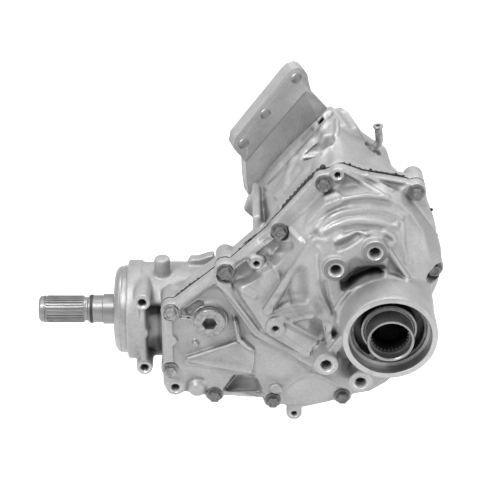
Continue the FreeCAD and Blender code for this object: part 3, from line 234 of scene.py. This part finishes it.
def plated_steel(name, grey, rough, patch, hollow=0.004, fade=None):
    finish = Finish(name, (grey, grey, grey), 0.6, rough)
    finish.tint(finish.noise(patch, 5, rough=0.65), 0.62, 1.30, 0.35, 0.65)
    finish.multiply(finish.ramp(finish.noise(patch * 4, 3), [(0.3, 0.72), (0.6, 1.0)]), 0.7)
    # Painted shade near other surfaces, reaching as far as hollow says
    finish.occlusion_shade(hollow, 0.25)
    if fade:
        finish.fade(*fade)
    finish.gloss(finish.noise(patch * 1.5, 3), rough - 0.06, rough + 0.2)
    finish.bump(finish.noise(900, 2), 0.00008, 0.5)
    return finish.material


def black_rubber(name, level, rough, sheen=0.5):
    finish = Finish(name, (level, level, level), 0.0, rough)
    finish.shader.inputs["Specular IOR Level"].default_value = sheen
    finish.tint(finish.noise(140, 4), 0.7, 1.6)
    finish.gloss(finish.noise(260, 3), rough - 0.1, rough + 0.12)
    finish.bump(finish.noise(700, 3), 0.0001, 0.5)
    return finish.material


FINISHES = {
    "cast_aluminium": cast_metal("Cast aluminium", 0.43, 0.50),
    "bracket_aluminium": cast_metal("Cast bracket aluminium", 0.40, 0.60, 0.15, None),
    "machined_aluminium": turned_metal("Turned aluminium", 0.36, 0.36),
    "boss_face": turned_metal("Milled boss face", 0.20, 0.40),
    "pale_face": turned_metal("Milled pale boss face", 0.40, 0.42),
    # Pale bore linings: bright machined metal, lightened further as a painted highlight on the walls that
    # catch the light
    "bore_wall": turned_metal("Bright bore wall", 0.75, 0.35, hollow=None),
    "bracket_bore": turned_metal("Bracket bore wall", 0.42, 0.45, hollow=None),
    "tube_face": turned_metal("Turned tube face", 0.42, 0.36),
    "bolt_steel": plated_steel("Dull plated bolt steel", 0.33, 0.42, 130, fade=(0.05, 0.09, 0.55)),
    # The plug's socket gets painted shade reaching 12 mm
    "plug_steel": plated_steel("Mottled plug steel", 0.32, 0.38, 300, 0.012),
    "vent_steel": plated_steel("Plated vent steel", 0.38, 0.36, 90),
    "shaft_steel": turned_metal("Oiled shaft steel", 0.27, 0.34, (30, 1, 1)),
    # Painted shade reaches 45 mm into the sleeve's bore
    "sleeve_steel": turned_metal("Sleeve steel", 0.30, 0.34, hollow=0.045),
    "ring_steel": turned_metal("Dark ring steel", 0.26, 0.26),
    # Near black: oil on the pinion steel, and painted shade where it lies deep inside the output tube
    "oily_steel": black_rubber("Oiled steel in painted deep shade", 0.003, 0.85, 0.05),
    "gear_steel": turned_metal("Ground gear steel", 0.38, 0.28),
    "bearing_steel": turned_metal("Polished bearing steel", 0.62, 0.18),
    "cage_steel": turned_metal("Pressed cage steel", 0.42, 0.35),
    "seal_rubber": black_rubber("Moulded black rubber", 0.018, 0.42),
    "gasket_black": black_rubber("Cured black sealant", 0.016, 0.5),
    "magnet_black": black_rubber("Sintered magnet", 0.05, 0.6),
}
SLOT_OF = {s["node"]: s["material_slot"] for s in frame["record"]["subparts"]}


def wear(piece, finish):
    """Gives a piece its finish."""
    piece.data.materials.clear()
    piece.data.materials.append(FINISHES[finish])


# Shaping

def new_piece(name, mesh):
    piece = bpy.data.objects.new(name, mesh)
    bpy.context.scene.collection.objects.link(piece)
    return piece


def merged_copy(node, name):
    """Copy of a frame node with its loose triangles joined."""
    mesh = NODES[node].data.copy()
    form = bmesh.new()
    form.from_mesh(mesh)
    bmesh.ops.remove_doubles(form, verts=form.verts, dist=1e-6)
    form.to_mesh(mesh)
    form.free()
    return new_piece(name, mesh)


def settle(piece):
    """Applies the modifiers of a piece."""
    bpy.context.view_layer.update()
    done = bpy.data.meshes.new_from_object(piece.evaluated_get(bpy.context.evaluated_depsgraph_get()))
    piece.modifiers.clear()
    piece.data = done


def shade(piece, angle=None):
    for face in piece.data.polygons:
        face.use_smooth = True
    if angle is not None:
        piece.data.set_sharp_from_angle(angle=math.radians(angle))


def eased(node, width, slot=None):
    """Crisp piece with small rounds on its edges, in place of the plain node."""
    piece = merged_copy(node, node + "_eased")
    form = bmesh.new()
    form.from_mesh(piece.data)
    bmesh.ops.dissolve_limit(form, angle_limit=math.radians(1.0), verts=form.verts, edges=form.edges)
    form.to_mesh(piece.data)
    form.free()
    shade(piece)
    bevel = piece.modifiers.new("Rounds", "BEVEL")
    bevel.width = width * MM
    bevel.segments = 3
    bevel.limit_method = "ANGLE"
    bevel.angle_limit = math.radians(35)
    even = piece.modifiers.new("Even", "WEIGHTED_NORMAL")
    even.weight = 80
    wear(piece, slot or SLOT_OF[node])
    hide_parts(node)
    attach(piece, BODY_OF[node])
    return piece


def soften(mesh, weight, rounds):
    """Evens out a dense mesh as a sand mould does; weight 0 keeps a place crisp."""
    count = len(mesh.vertices)
    place = np.empty(count * 3)
    mesh.vertices.foreach_get("co", place)
    place = place.reshape(-1, 3)
    ends = np.empty(len(mesh.edges) * 2, np.int64)
    mesh.edges.foreach_get("vertices", ends)
    a, b = ends.reshape(-1, 2).T
    degree = np.bincount(a, minlength=count) + np.bincount(b, minlength=count)
    degree = np.maximum(degree, 1)
    share = weight(place)[:, None] * 0.6
    for _ in range(rounds):
        mean = np.empty_like(place)
        for axis in range(3):
            total = np.bincount(a, place[b, axis], count) + np.bincount(b, place[a, axis], count)
            mean[:, axis] = total / degree
        place = place + share * (mean - place)
    mesh.vertices.foreach_set("co", place.ravel())
    mesh.update()


def line_distance(points, u, v):
    """Distance of every (u, v) from a bent line."""
    best = np.full(len(u), 1e9)
    for (u0, v0), (u1, v1) in zip(points, points[1:]):
        du, dv = u1 - u0, v1 - v0
        share = np.clip(((u - u0) * du + (v - v0) * dv) / (du * du + dv * dv + 1e-9), 0, 1)
        best = np.minimum(best, np.hypot(u - u0 - share * du, v - v0 - share * dv))
    return best


def inside_of(points, u, v):
    """Whether every (u, v) lies inside a closed outline."""
    inside = np.zeros(len(u), bool)
    for (u0, v0), (u1, v1) in zip(points, points[1:] + points[:1]):
        if v0 != v1:
            inside ^= ((v0 > v) != (v1 > v)) & (u < (u1 - u0) * (v - v0) / (v1 - v0) + u0)
    return inside


def ridge(points, wide, high):
    """Rounded ridge along a bent line, or a hollow when high is below nothing."""
    def height(u, v):
        share = np.clip(line_distance(points, u, v) / wide, 0, 1)
        return high * (1 - share * share) ** 2
    return height


def facet(points, soft, high):
    """Flat raised field with a soft border, or a sunk one when high is below nothing."""
    def height(u, v):
        away = line_distance(points + points[:1], u, v)
        share = np.clip(0.5 + np.where(inside_of(points, u, v), away, -away) / (2 * soft), 0, 1)
        return high * share * share * (3 - 2 * share)
    return height


def across_and_down(place):
    """Where the camera sees each place, across and down in the photo's frame."""
    from_eye = place - np.array(EYE)
    depth = from_eye[:, 1] * math.sin(EYE_TILT) - from_eye[:, 2] * math.cos(EYE_TILT)
    up = from_eye[:, 1] * math.cos(EYE_TILT) + from_eye[:, 2] * math.sin(EYE_TILT)
    scale = PICTURE * LENS / SENSOR / depth
    return PICTURE / 2 + from_eye[:, 0] * scale, PICTURE / 2 - up * scale


def carve(mesh, shapes, weight, near, far):
    """Raises and sinks the faces that look to the camera, between two depths of the front view."""
    count = len(mesh.vertices)
    place = np.empty(count * 3)
    mesh.vertices.foreach_get("co", place)
    place = place.reshape(-1, 3)
    normal = np.empty(count * 3)
    mesh.vertex_normals.foreach_get("vector", normal)
    normal = normal.reshape(-1, 3)
    toward = np.array([0.0, -math.sin(EYE_TILT), math.cos(EYE_TILT)])
    share = np.clip((normal @ toward - 0.1) / 0.35, 0, 1) * weight(place)
    depth = place[:, 1] / MM
    share *= np.clip((far - depth) / 2, 0, 1) * np.clip((depth - near) / 2, 0, 1)
    across, down = across_and_down(place)
    total = np.zeros(count)
    for shape in shapes:
        total += shape(across, down)
    place += normal * (total * share * MM)[:, None]
    mesh.vertices.foreach_set("co", place.ravel())
    mesh.update()


def mark_shade(mesh, shapes):
    """Marks where painted shade darkens the finish of a mesh."""
    place = np.empty(len(mesh.vertices) * 3)
    mesh.vertices.foreach_get("co", place)
    across, down = across_and_down(place.reshape(-1, 3))
    total = np.zeros(len(across))
    for shape in shapes:
        total = np.maximum(total, shape(across, down))
    mesh.attributes.new("painted_shade", "FLOAT", "POINT").data.foreach_set("value", total)


def cast_skin(node, grain, rounds, weight, shapes, painted_shade, near, far, limit=185000):
    """Soft cast skin with its relief, in place of a casting's plain node."""
    piece = merged_copy(node, node + "_skin")
    remesh = piece.modifiers.new("Skin", "REMESH")
    remesh.mode = "VOXEL"
    remesh.voxel_size = grain * MM
    settle(piece)
    soften(piece.data, weight, rounds)
    carve(piece.data, shapes, weight, near, far)
    soften(piece.data, weight, 1)
    count = sum(len(face.vertices) - 2 for face in piece.data.polygons)
    if count > limit:
        thin = piece.modifiers.new("Thin", "DECIMATE")
        thin.ratio = limit / count
        settle(piece)
    mark_shade(piece.data, painted_shade)
    shade(piece)
    wear(piece, SLOT_OF[node])
    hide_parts(node)
    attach(piece, BODY_OF[node])
    return piece


def lathe(name, profile, at, along, slot, body, steps=64):
    """Turned piece: the profile lists (distance along, radius) pairs in millimetres."""
    form = bmesh.new()
    points = [form.verts.new((r * MM, 0, a * MM)) for a, r in profile]
    for first, second in zip(points, points[1:] + points[:1]):
        form.edges.new((first, second))
    bmesh.ops.spin(form, geom=form.verts[:] + form.edges[:], cent=(0, 0, 0), axis=(0, 0, 1),
                   angle=2 * math.pi, steps=steps, use_merge=True)
    bmesh.ops.remove_doubles(form, verts=form.verts, dist=1e-7)
    bmesh.ops.recalc_face_normals(form, faces=form.faces)
    turn = Vector((0, 0, 1)).rotation_difference(Vector(along)).to_matrix().to_4x4()
    bmesh.ops.transform(form, matrix=Matrix.Translation(Vector(at) * MM) @ turn, verts=form.verts)
    mesh = bpy.data.meshes.new(name)
    form.to_mesh(mesh)
    form.free()
    piece = new_piece(name, mesh)
    shade(piece, 40)
    wear(piece, slot)
    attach(piece, body)
    return piece


# The cover

BOLTS = [(46.2, 39.5), (100.1, 86.1), (152.5, 131.3), (193.2, 182.4), (280.8, 172.8),
         (302.5, 90.0), (219.0, -62.0), (148.4, -67.0), (89.0, -60.0), (44.8, -29.0)]
TAPPED = [(241.0, 129.0), (205.0, 110.4), (199.0, 2.0), (233.4, -18.5)]
SMALL_HOLES = [  # across, the face it is in, up, and its radius
    (206, -67.9, 191.7, 3.0), (130.7, -71.9, 97.3, 3.0), (149.5, -85.9, 31.5, 3.0),
    (170.4, -67.9, -84.0, 2.8), (49.1, -67.9, -51.4, 4.2),
]
OUTPUT = (256.0, 56.0)


def cover_crisp(place):
    """Keeps holes, seats and the mouth of the tube crisp."""
    u, y, v = place.T / MM
    keep = np.ones(len(u))
    for x, z in BOLTS:
        keep = np.minimum(keep, np.clip((np.hypot(u - x, v - z) - 9.2) / 1.5, 0, 1))
    for x, z in TAPPED:
        near = np.hypot(u - x, v - z)
        rim = np.where(y < TAPPED_FACE + 2, np.clip((near - 11.0) / 1.5, 0, 1), np.clip((near - 6) / 1, 0, 1))
        keep = np.minimum(keep, rim)
    for x, _, z, r in SMALL_HOLES:
        keep = np.minimum(keep, np.clip((np.hypot(u - x, v - z) - r - 0.8) / 1.0, 0, 1))
    mouth = np.hypot(u - OUTPUT[0], v - OUTPUT[1])
    return np.minimum(keep, np.where((mouth < TUBE_R) & (y < TUBE_CRISP_FROM), 0, 1))


# Ridges, hollows and flats of the castings, each with its points across and down the picture,
# its half width there and its height in millimetres.
DOME_ARCS = [
    ridge([(343, 199), (352, 196.5), (366, 194.5), (380, 195.5), (388, 197.5)], 3.4, 1.8),
    ridge([(318, 228), (328, 219), (340, 213), (352, 210), (370, 208.5), (386, 210), (400, 216)], 6.0, 3.4),
    ridge([(322, 233), (334, 226), (348, 221), (362, 220), (380, 222), (396, 226.5)], 5.6, 3.0),
    ridge([(312, 236), (330, 212.5), (350, 203), (370, 201), (390, 204)], 4, -1.4),
    ridge([(395, 225.5), (402, 217)], 3.5, 1.6),
    ridge([(345, 231), (360, 228), (380, 230)], 6, -2.4),
    ridge([(316, 239.5), (326, 240.5)], 4, 1.8),
    ridge([(314, 243), (324, 253)], 3.5, 1.4),
]
DOME_TOP = [
    facet([(343, 173), (381, 195), (366, 192.5), (346, 196), (338, 192), (340, 180)], 2.4, -3.0),
    ridge([(341, 170.5), (352, 176), (382, 194.5)], 3, 1.3),
    ridge([(366, 175), (378, 182.5), (392, 190)], 3.2, 1.6),
    facet([(380, 181), (406, 185), (398, 189.5), (389, 187)], 2, -2.5),
    ridge([(403, 189), (408, 184.5), (413, 186.5)], 3, 1.4),
    ridge([(325, 197.5), (338, 192.5)], 3.4, 1.4),
]
DOME_SIDE = [
    ridge([(402, 222), (403, 245), (406, 262)], 4, 0.9),
    ridge([(409, 212), (408, 240), (411, 262)], 4, -0.8),
    ridge([(420, 215), (428, 240), (430, 260)], 6, 0.6),
]
TUBE_ROOT = [
    ridge([(335, 241), (345, 236), (355, 232), (366, 233)], 3.4, 2.0),
    ridge([(338, 247), (346, 244), (354, 239), (358, 236)], 6, -4.5),
    ridge([(366, 233), (376, 230), (386, 232), (393, 236), (395, 241), (392, 246)], 4, 2.0),
    ridge([(386, 238), (389, 240)], 4, -2.0),
    ridge([(389, 250), (398, 264), (408, 280)], 3.2, 1.8),
    facet([(389, 258), (405, 279), (388, 273)], 2.4, -3.0),
    ridge([(386, 275), (397, 276.5), (408, 280)], 2.8, 1.6),
    ridge([(349, 291), (341, 300), (335, 309)], 3, 1.8),
]
MIDDLE = [
    ridge([(313, 240), (294, 269), (267, 311)], 6, 3.2),
    ridge([(288, 228), (302, 243)], 4, 2.0),
    ridge([(264, 240), (276, 247), (288, 246)], 7, -3.0),
    ridge([(271, 253), (279, 254)], 5.5, 2.4),
    ridge([(251, 258), (256, 256.5), (262, 257.5), (270, 262.5), (276, 270), (280, 278)], 3.2, 2.0),
    facet([(235, 264), (248, 259), (251, 268), (262, 276), (258, 283), (243, 282), (234, 275)], 4, -3.2),
    ridge([(232, 283), (243, 289), (254, 296)], 5.5, 2.4),
    ridge([(302, 272), (303, 292)], 9, -3.4),
    ridge([(317, 256), (318.5, 280), (322, 296), (331, 312)], 3.2, 1.6),
    ridge([(325, 282), (328, 298), (334, 316)], 3, -2.0),
    ridge([(309, 353), (321, 339), (338, 321)], 4, 2.0),
]
PILLOW = [
    ridge([(276, 316), (298, 309), (316, 304)], 12, 3.0),
    ridge([(272, 310), (284, 305), (297, 302), (308, 301)], 3.6, 2.8),
    ridge([(292, 320.5), (302, 317.5), (313, 316)], 3.2, 2.6),
    ridge([(316, 326), (324, 332)], 9, -3.0),
    ridge([(318, 300), (323, 312)], 7, -3.0),
    facet([(262, 326), (271, 316), (284, 317), (319, 342), (309, 357), (285, 349), (258, 334)], 2.4, 1.4),
    ridge([(285, 324), (303, 333), (319, 341.5)], 2.6, -2.0),
]
DIAGONAL_BAND = [
    ridge([(216, 284), (224, 290), (240, 309), (257, 330)], 3, 1.2),
    ridge([(250, 335), (268, 345), (285, 352), (312, 371)], 2.6, -1.1),
    ridge([(256, 336), (282, 349), (310, 364)], 4, 1.2),
    ridge([(253, 350), (253, 368), (256, 383), (264, 396)], 3, -1.0),
]
PLUG_FIELD = [
    facet([(182, 307), (209, 288), (219, 288), (226, 294), (256, 331), (237, 343), (190, 357), (177, 352),
           (176, 322)], 2.6, -1.8),
    ridge([(234, 317), (236, 330), (240, 340), (246, 346.5), (253, 350.5)], 3, 1.8),
    ridge([(194.6, 342.3), (196, 342.5)], 4, 1.8),
]
WEDGE = [
    ridge([(188, 358), (212, 350), (237, 341.5)], 3, 2.4),
    facet([(190, 359), (236, 344), (252, 352), (252, 369), (188, 361.5)], 2.4, -2.4),
    ridge([(186, 362.5), (220, 366.5), (250, 371.5)], 4, 1.6),
    facet([(224, 390), (234, 376), (253, 376), (262, 395)], 1.8, -4.0),
    ridge([(223, 393), (240, 395), (262, 400)], 3, 1.4),
]
LOWER_FAN = [
    ridge([(281, 391), (288, 384), (297, 377.5), (306, 374), (318, 374.5), (330, 380), (349, 391)], 3.4, 1.8),
    facet([(285, 391), (306, 377), (320, 378), (345, 391), (330, 401), (304, 407), (289, 403)], 4, 1.2),
    ridge([(289, 402), (294, 403)], 4, 1.6),
    ridge([(270, 389), (272, 386), (277, 384.5)], 2.4, 1.3),
]
LEFT_BAND = [
    ridge([(161.5, 369), (164, 364.5), (170, 361.5), (176, 363), (180, 368)], 2, 1.2),
]
TOWER = [
    ridge([(328, 110.5), (264.5, 180)], 2.6, 2.0),
    ridge([(331.5, 112.8), (268, 182.5)], 2.2, -2.2),
    ridge([(302, 140), (311, 130)], 3, -3.0),
    ridge([(294.5, 155), (296, 153.5)], 3.6, -4.0),
    ridge([(328, 121), (302.8, 150), (266, 188)], 3.0, 2.8),
    ridge([(337, 121), (337, 133), (331.7, 147.8), (322.8, 154.4), (305, 157.8)], 3.0, 3.2),
    ridge([(296, 156.7), (288.3, 171), (285, 188.9), (277, 196.7)], 3.6, 3.4),
    ridge([(285, 166), (276, 180), (270, 190)], 7, -3.0),
    ridge([(310.6, 166.7), (296, 182), (280.6, 207.8)], 3.6, 3.2),
    ridge([(300, 168), (291, 184)], 4, -2.4),
    ridge([(316, 134), (318, 146), (308, 152)], 7, -3.0),
    ridge([(343.9, 110), (357, 125.6)], 3, 1.2),
]
# Painted shade on the cover: pockets, gaps and valleys darkened in the colour, each with its points across
# and down the picture, its half width or soft border there, and how dark it is painted, from 0 to 1
COVER_SHADE = [
    facet([(346, 285), (348.5, 277), (355, 269.5), (366, 265), (384, 264), (388, 268), (380, 271),
           (366, 273.5), (357, 278), (351, 285)], 1.6, 0.95),
    facet([(347, 262), (356, 256), (364, 260), (374, 265), (352, 275), (346, 281)], 2.4, 0.5),
    facet([(337.5, 352), (343, 349), (349, 356), (353, 365), (358, 371), (352, 376.5), (346, 378), (341, 372),
           (338, 362)], 1.8, 0.72),
    facet([(223, 391), (234, 375.5), (244, 375), (240, 391)], 2.5, 0.72),
    facet([(240, 376), (254, 376), (262, 396), (238, 391)], 3, 0.45),
    ridge([(186.5, 390), (188, 381.5), (194.5, 377), (203, 378.5)], 3, 0.5),
    facet([(190, 360), (237, 345), (247, 353), (240, 364)], 4, 0.22),
    facet([(234, 262), (249, 259), (252, 268), (262, 277), (258, 284), (243, 282)], 4, 0.25),
    facet([(343, 174), (378, 194), (346, 196), (340, 184)], 3, 0.2),
    facet([(380, 182), (404, 185.5), (398, 188.5), (389, 187)], 2, 0.3),
    ridge([(312, 237), (330, 213), (350, 204), (370, 202), (390, 205.5)], 3, 0.22),
    ridge([(326, 233), (338, 227.5), (350, 227), (366, 226), (384, 229)], 4, 0.22),
    ridge([(302, 272), (303, 292)], 7, 0.3),
    ridge([(276, 296), (300, 292)], 4, 0.25),
    ridge([(284, 313), (306, 309)], 3, 0.2),
    facet([(262, 376), (284, 372), (300, 378), (282, 392), (262, 400), (252, 385)], 6, 0.15),
    facet([(176, 345), (196, 345), (184, 362), (176, 362)], 5, 0.14),
    facet([(230, 300), (250, 330), (236, 340), (224, 310)], 5, 0.12),
    ridge([(342, 246), (352, 241)], 5, 0.25),
    ridge([(320, 282), (325, 298), (333, 314)], 5, 0.3),
    ridge([(316, 328), (324, 334)], 7, 0.3),
    facet([(389, 259), (404, 278), (388, 272)], 3, 0.25),
    facet([(176, 322), (192, 340), (190, 356), (178, 352)], 6, 0.1),
    ridge([(214, 391), (206, 398)], 3, 0.4),
    ridge([(245, 392), (265, 399)], 2.5, 0.5),
]
# Painted shade on the case, given in the same way
CASE_SHADE = [
    facet([(146.5, 304), (161, 303), (163, 314), (149, 316)], 2, 0.85),
    facet([(147, 340), (163, 334), (163, 350), (147, 350)], 3, 0.5),
    ridge([(302, 140), (313, 128)], 3, 0.35),
    ridge([(294.5, 155), (296, 153.5)], 3.4, 0.5),
    ridge([(332, 114), (268, 184)], 1.6, 0.4),
]


def bored_face(name, at, hole, chamfer, outer, depth, finish):
    """Turned flat round a hole, with the countersink and the first part of the bore."""
    lathe(name + "_rim", [(-0.5, outer), (0.2, outer), (0.4, outer - 0.3), (0.4, hole + chamfer),
                          (-0.5, hole + chamfer)], at, (0, -1, 0), finish, "case")
    lathe(name + "_bore", [(0.38, hole + chamfer), (0.38 - chamfer, hole - 0.08), (-depth, hole - 0.12),
                           (-depth, hole + 0.8), (-chamfer - 0.6, hole + chamfer)],
          at, (0, -1, 0), "bore_wall", "case")


def dress_cover():
    shapes = DOME_ARCS + DOME_TOP + DOME_SIDE + TUBE_ROOT + MIDDLE + PILLOW + DIAGONAL_BAND
    shapes += PLUG_FIELD + WEDGE + LOWER_FAN + LEFT_BAND
    cast_skin("front_cover", 1.0, 6, cover_crisp, shapes, COVER_SHADE, -200.0, -60.0)
    for i, (x, z) in enumerate(TAPPED):
        finish = "pale_face" if z < OUTPUT[1] else "boss_face"
        bored_face("tapped_%d" % i, (x, TAPPED_FACE, z), 5.2, 2.4, 11.6, 8.0, finish)
    for i, (x, face, z, r) in enumerate(SMALL_HOLES):
        bored_face("small_hole_%d" % i, (x, face, z), r, 1.6, r + 3.2, 5.0, "pale_face")
    lathe("tube_rim", [(-7.0, 39.35), (-0.2, 39.35), (0.25, 39.8), (0.25, 44.0), (0.0, 44.5), (-0.4, 44.5),
                       (-0.4, 41), (-7.0, 40.4)],
          (OUTPUT[0], MOUTH_Y, OUTPUT[1]), (0, -1, 0), "tube_face", "case", 160)


# The case

def case_crisp(place):
    """Keeps the ears' holes, the seam's face and the face to the gearbox crisp."""
    u, y, v = place.T / MM
    keep = np.ones(len(u))
    for x, z in EARS:
        keep = np.minimum(keep, np.clip(np.hypot(u - x, v - z) - 5.2, 0, 1))
    return np.where((u < GEARBOX_FACE) | (y < CASE_FRONT), 0, keep)


def dress_case():
    cast_skin("rear_case", 1.4, 5, case_crisp, TOWER, CASE_SHADE, -60.0, 90.0, 190000)
    for x, z in EARS:
        bored_face("ear_%d" % (z > 0), (x, EAR_FACE, z), 4.2, 1.4, 8.0, 6.0, "pale_face")


def bracket_bores():
    """Bright linings of the three bracket holes: machined metal, lightened as a painted highlight."""
    x, y, z = BRACKET_AT
    turned_x, turned_y = math.cos(BRACKET_TURN), math.sin(BRACKET_TURN)
    for i, (u, v) in enumerate(BRACKET_HOLES):
        lathe("bracket_bore_%d" % i, [(0.1, 6.5), (-0.8, 5.57), (-16.6, 5.55), (-16.6, 5.9), (-0.6, 6.6)],
              (x + u * turned_x, y + u * turned_y, z + v), (turned_y, -turned_x, 0), "bracket_bore", "case")


def sleeve_shade(piece):
    """Painted shade inside the output sleeve, darker farther in."""
    mesh = piece.data
    place = np.empty(len(mesh.vertices) * 3)
    mesh.vertices.foreach_get("co", place)
    x, y, z = place.reshape(-1, 3).T / MM
    inside = np.hypot(x - OUTPUT[0], z - OUTPUT[1]) < SLEEVE_BORE
    dark = np.where(inside, np.clip((y - SLEEVE_DARK_FROM) / SLEEVE_DARK_OVER, 0, 1), 0)
    mesh.attributes.new("painted_shade", "FLOAT", "POINT").data.foreach_set("value", dark)


# Sealant squeezed out of the seam, black also as painted shade in the seam's gap

BEADS = [  # stretches of the seam in the front view, and how thick the bead is there
    ([(193, 194), (181, 182), (166, 163), (155, 149)], 2.6),
    ([(150, 143), (146, 138)], 1.1),
    ([(99, 89.5), (92, 84), (86, 79)], 2.0),
    ([(86, 79), (80, 75), (66, 64), (52, 51.5)], 1.1),
    ([(118, 110), (132, 122)], 0.8),
    ([(37.2, 24), (37.2, -10)], 1.0),
    ([(212, 198), (222, 194), (232, 190.5), (246, 188.5), (262, 185.5), (270, 184)], 1.3),
]


def sealant():
    """Lumpy beads of black sealant along the seam, which also stand in for the shade of the gap there."""
    form = bmesh.new()
    step = 0
    for points, thick in BEADS:
        for (u0, v0), (u1, v1) in zip(points, points[1:]):
            count = int(math.hypot(u1 - u0, v1 - v0) / 0.8) + 1
            for i in range(count):
                step += 1
                share = i / count
                radius = thick * (0.75 + 0.25 * math.sin(step * 0.9) + 0.2 * math.sin(step * 2.3))
                at = Vector((u0 + (u1 - u0) * share, SEAM_Y, v0 + (v1 - v0) * share)) * MM
                bmesh.ops.create_icosphere(form, subdivisions=1, radius=radius * MM,
                                           matrix=Matrix.Translation(at))
    mesh = bpy.data.meshes.new("sealant_beads")
    form.to_mesh(mesh)
    form.free()
    piece = new_piece("sealant_beads", mesh)
    shade(piece)
    wear(piece, "gasket_black")
    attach(piece, "case")


# The other pieces

dress_cover()
dress_case()
sealant()
for node, width in (("support_bracket", 0.9), ("cover_bolts", 0.35), ("bracket_bolts", 0.35),
                    ("fill_plug", 0.4), ("drain_plug", 0.4), ("pilot_cap", 0.5),
                    ("vent_collar", 0.4), ("output_snap_ring", 0.25), ("input_shaft", 0.25)):
    eased(node, width)
sleeve_shade(eased("output_sleeve", 0.3, "sleeve_steel"))
eased("output_dust_ring", 0.3, "ring_steel")
bracket_bores()
for name, node in NODES.items():
    node.data.materials.clear()
    node.data.materials.append(FINISHES[SLOT_OF[name]])
# Painted shade: the pinion seen deep in the tube is oiled steel made near black
for name in ("pinion_shaft", "pinion_nut"):
    wear(NODES[name], "oily_steel")


# Camera, lamps and paper

def camera():
    lens = bpy.data.cameras.new("Camera")
    lens.sensor_width = SENSOR
    lens.lens = LENS
    lens.clip_end = 20
    eye = bpy.data.objects.new("Camera", lens)
    eye.location = EYE
    eye.rotation_euler = (EYE_TILT, 0, 0)
    bpy.context.scene.collection.objects.link(eye)
    bpy.context.scene.camera = eye


def lamp(name, at, aim, size, power):
    light = bpy.data.lights.new(name, "AREA")
    light.shape = "DISK"
    light.size = size
    light.energy = power
    source = bpy.data.objects.new(name, light)
    source.location = at
    source.rotation_euler = (Vector(aim) - Vector(at)).to_track_quat("-Z", "Y").to_euler()
    bpy.context.scene.collection.objects.link(source)


def seen_rays(tree):
    """One where a camera, glossy or transmission ray looks, else nothing."""
    path = tree.nodes.new("ShaderNodeLightPath")
    total = path.outputs["Is Camera Ray"]
    for name in ("Is Glossy Ray", "Is Transmission Ray"):
        node = tree.nodes.new("ShaderNodeMath")
        node.operation = "MAXIMUM"
        tree.links.new(total, node.inputs[0])
        tree.links.new(path.outputs[name], node.inputs[1])
        total = node.outputs[0]
    return total


def studio():
    scene = bpy.context.scene
    scene.view_settings.view_transform = "Standard"
    world = bpy.data.worlds.new("Studio")
    scene.world = world
    world.use_nodes = True
    tree = world.node_tree
    sky = tree.nodes["Background"]
    sky.inputs["Color"].default_value = (1, 1, 1, 1)
    level = tree.nodes.new("ShaderNodeMapRange")
    tree.links.new(seen_rays(tree), level.inputs["Value"])
    level.inputs["To Min"].default_value = 0.34
    level.inputs["To Max"].default_value = 1.0
    tree.links.new(level.outputs["Result"], sky.inputs["Strength"])
    lamp("Key", (-0.55, -0.75, 1.35), KEY_AIM, 0.55, 17)
    lamp("Top", (0.35, 0.25, 1.3), TOP_AIM, 0.8, 9)
    lamp("Fill", (1.3, -0.9, 0.35), KEY_AIM, 0.9, 5)
    form = bmesh.new()
    bmesh.ops.create_grid(form, x_segments=1, y_segments=1, size=6)
    mesh = bpy.data.meshes.new("floor")
    form.to_mesh(mesh)
    form.free()
    mesh.transform(Matrix.Translation((0.1, 0, FLOOR_Z)))
    floor = new_piece("floor", mesh)
    paper = bpy.data.materials.new("Pale paper")
    paper.use_nodes = True
    tree = paper.node_tree
    shader = tree.nodes["Principled BSDF"]
    shader.inputs["Base Color"].default_value = (0.8, 0.8, 0.8, 1)
    shader.inputs["Roughness"].default_value = 0.9
    glow = tree.nodes.new("ShaderNodeEmission")
    level = tree.nodes.new("ShaderNodeMath")
    level.operation = "MULTIPLY"
    level.inputs[1].default_value = 0.72
    tree.links.new(seen_rays(tree), level.inputs[0])
    tree.links.new(level.outputs[0], glow.inputs["Strength"])
    both = tree.nodes.new("ShaderNodeAddShader")
    tree.links.new(shader.outputs[0], both.inputs[0])
    tree.links.new(glow.outputs[0], both.inputs[1])
    tree.links.new(both.outputs[0], tree.nodes["Material Output"].inputs["Surface"])
    floor.data.materials.append(paper)


camera()
studio()
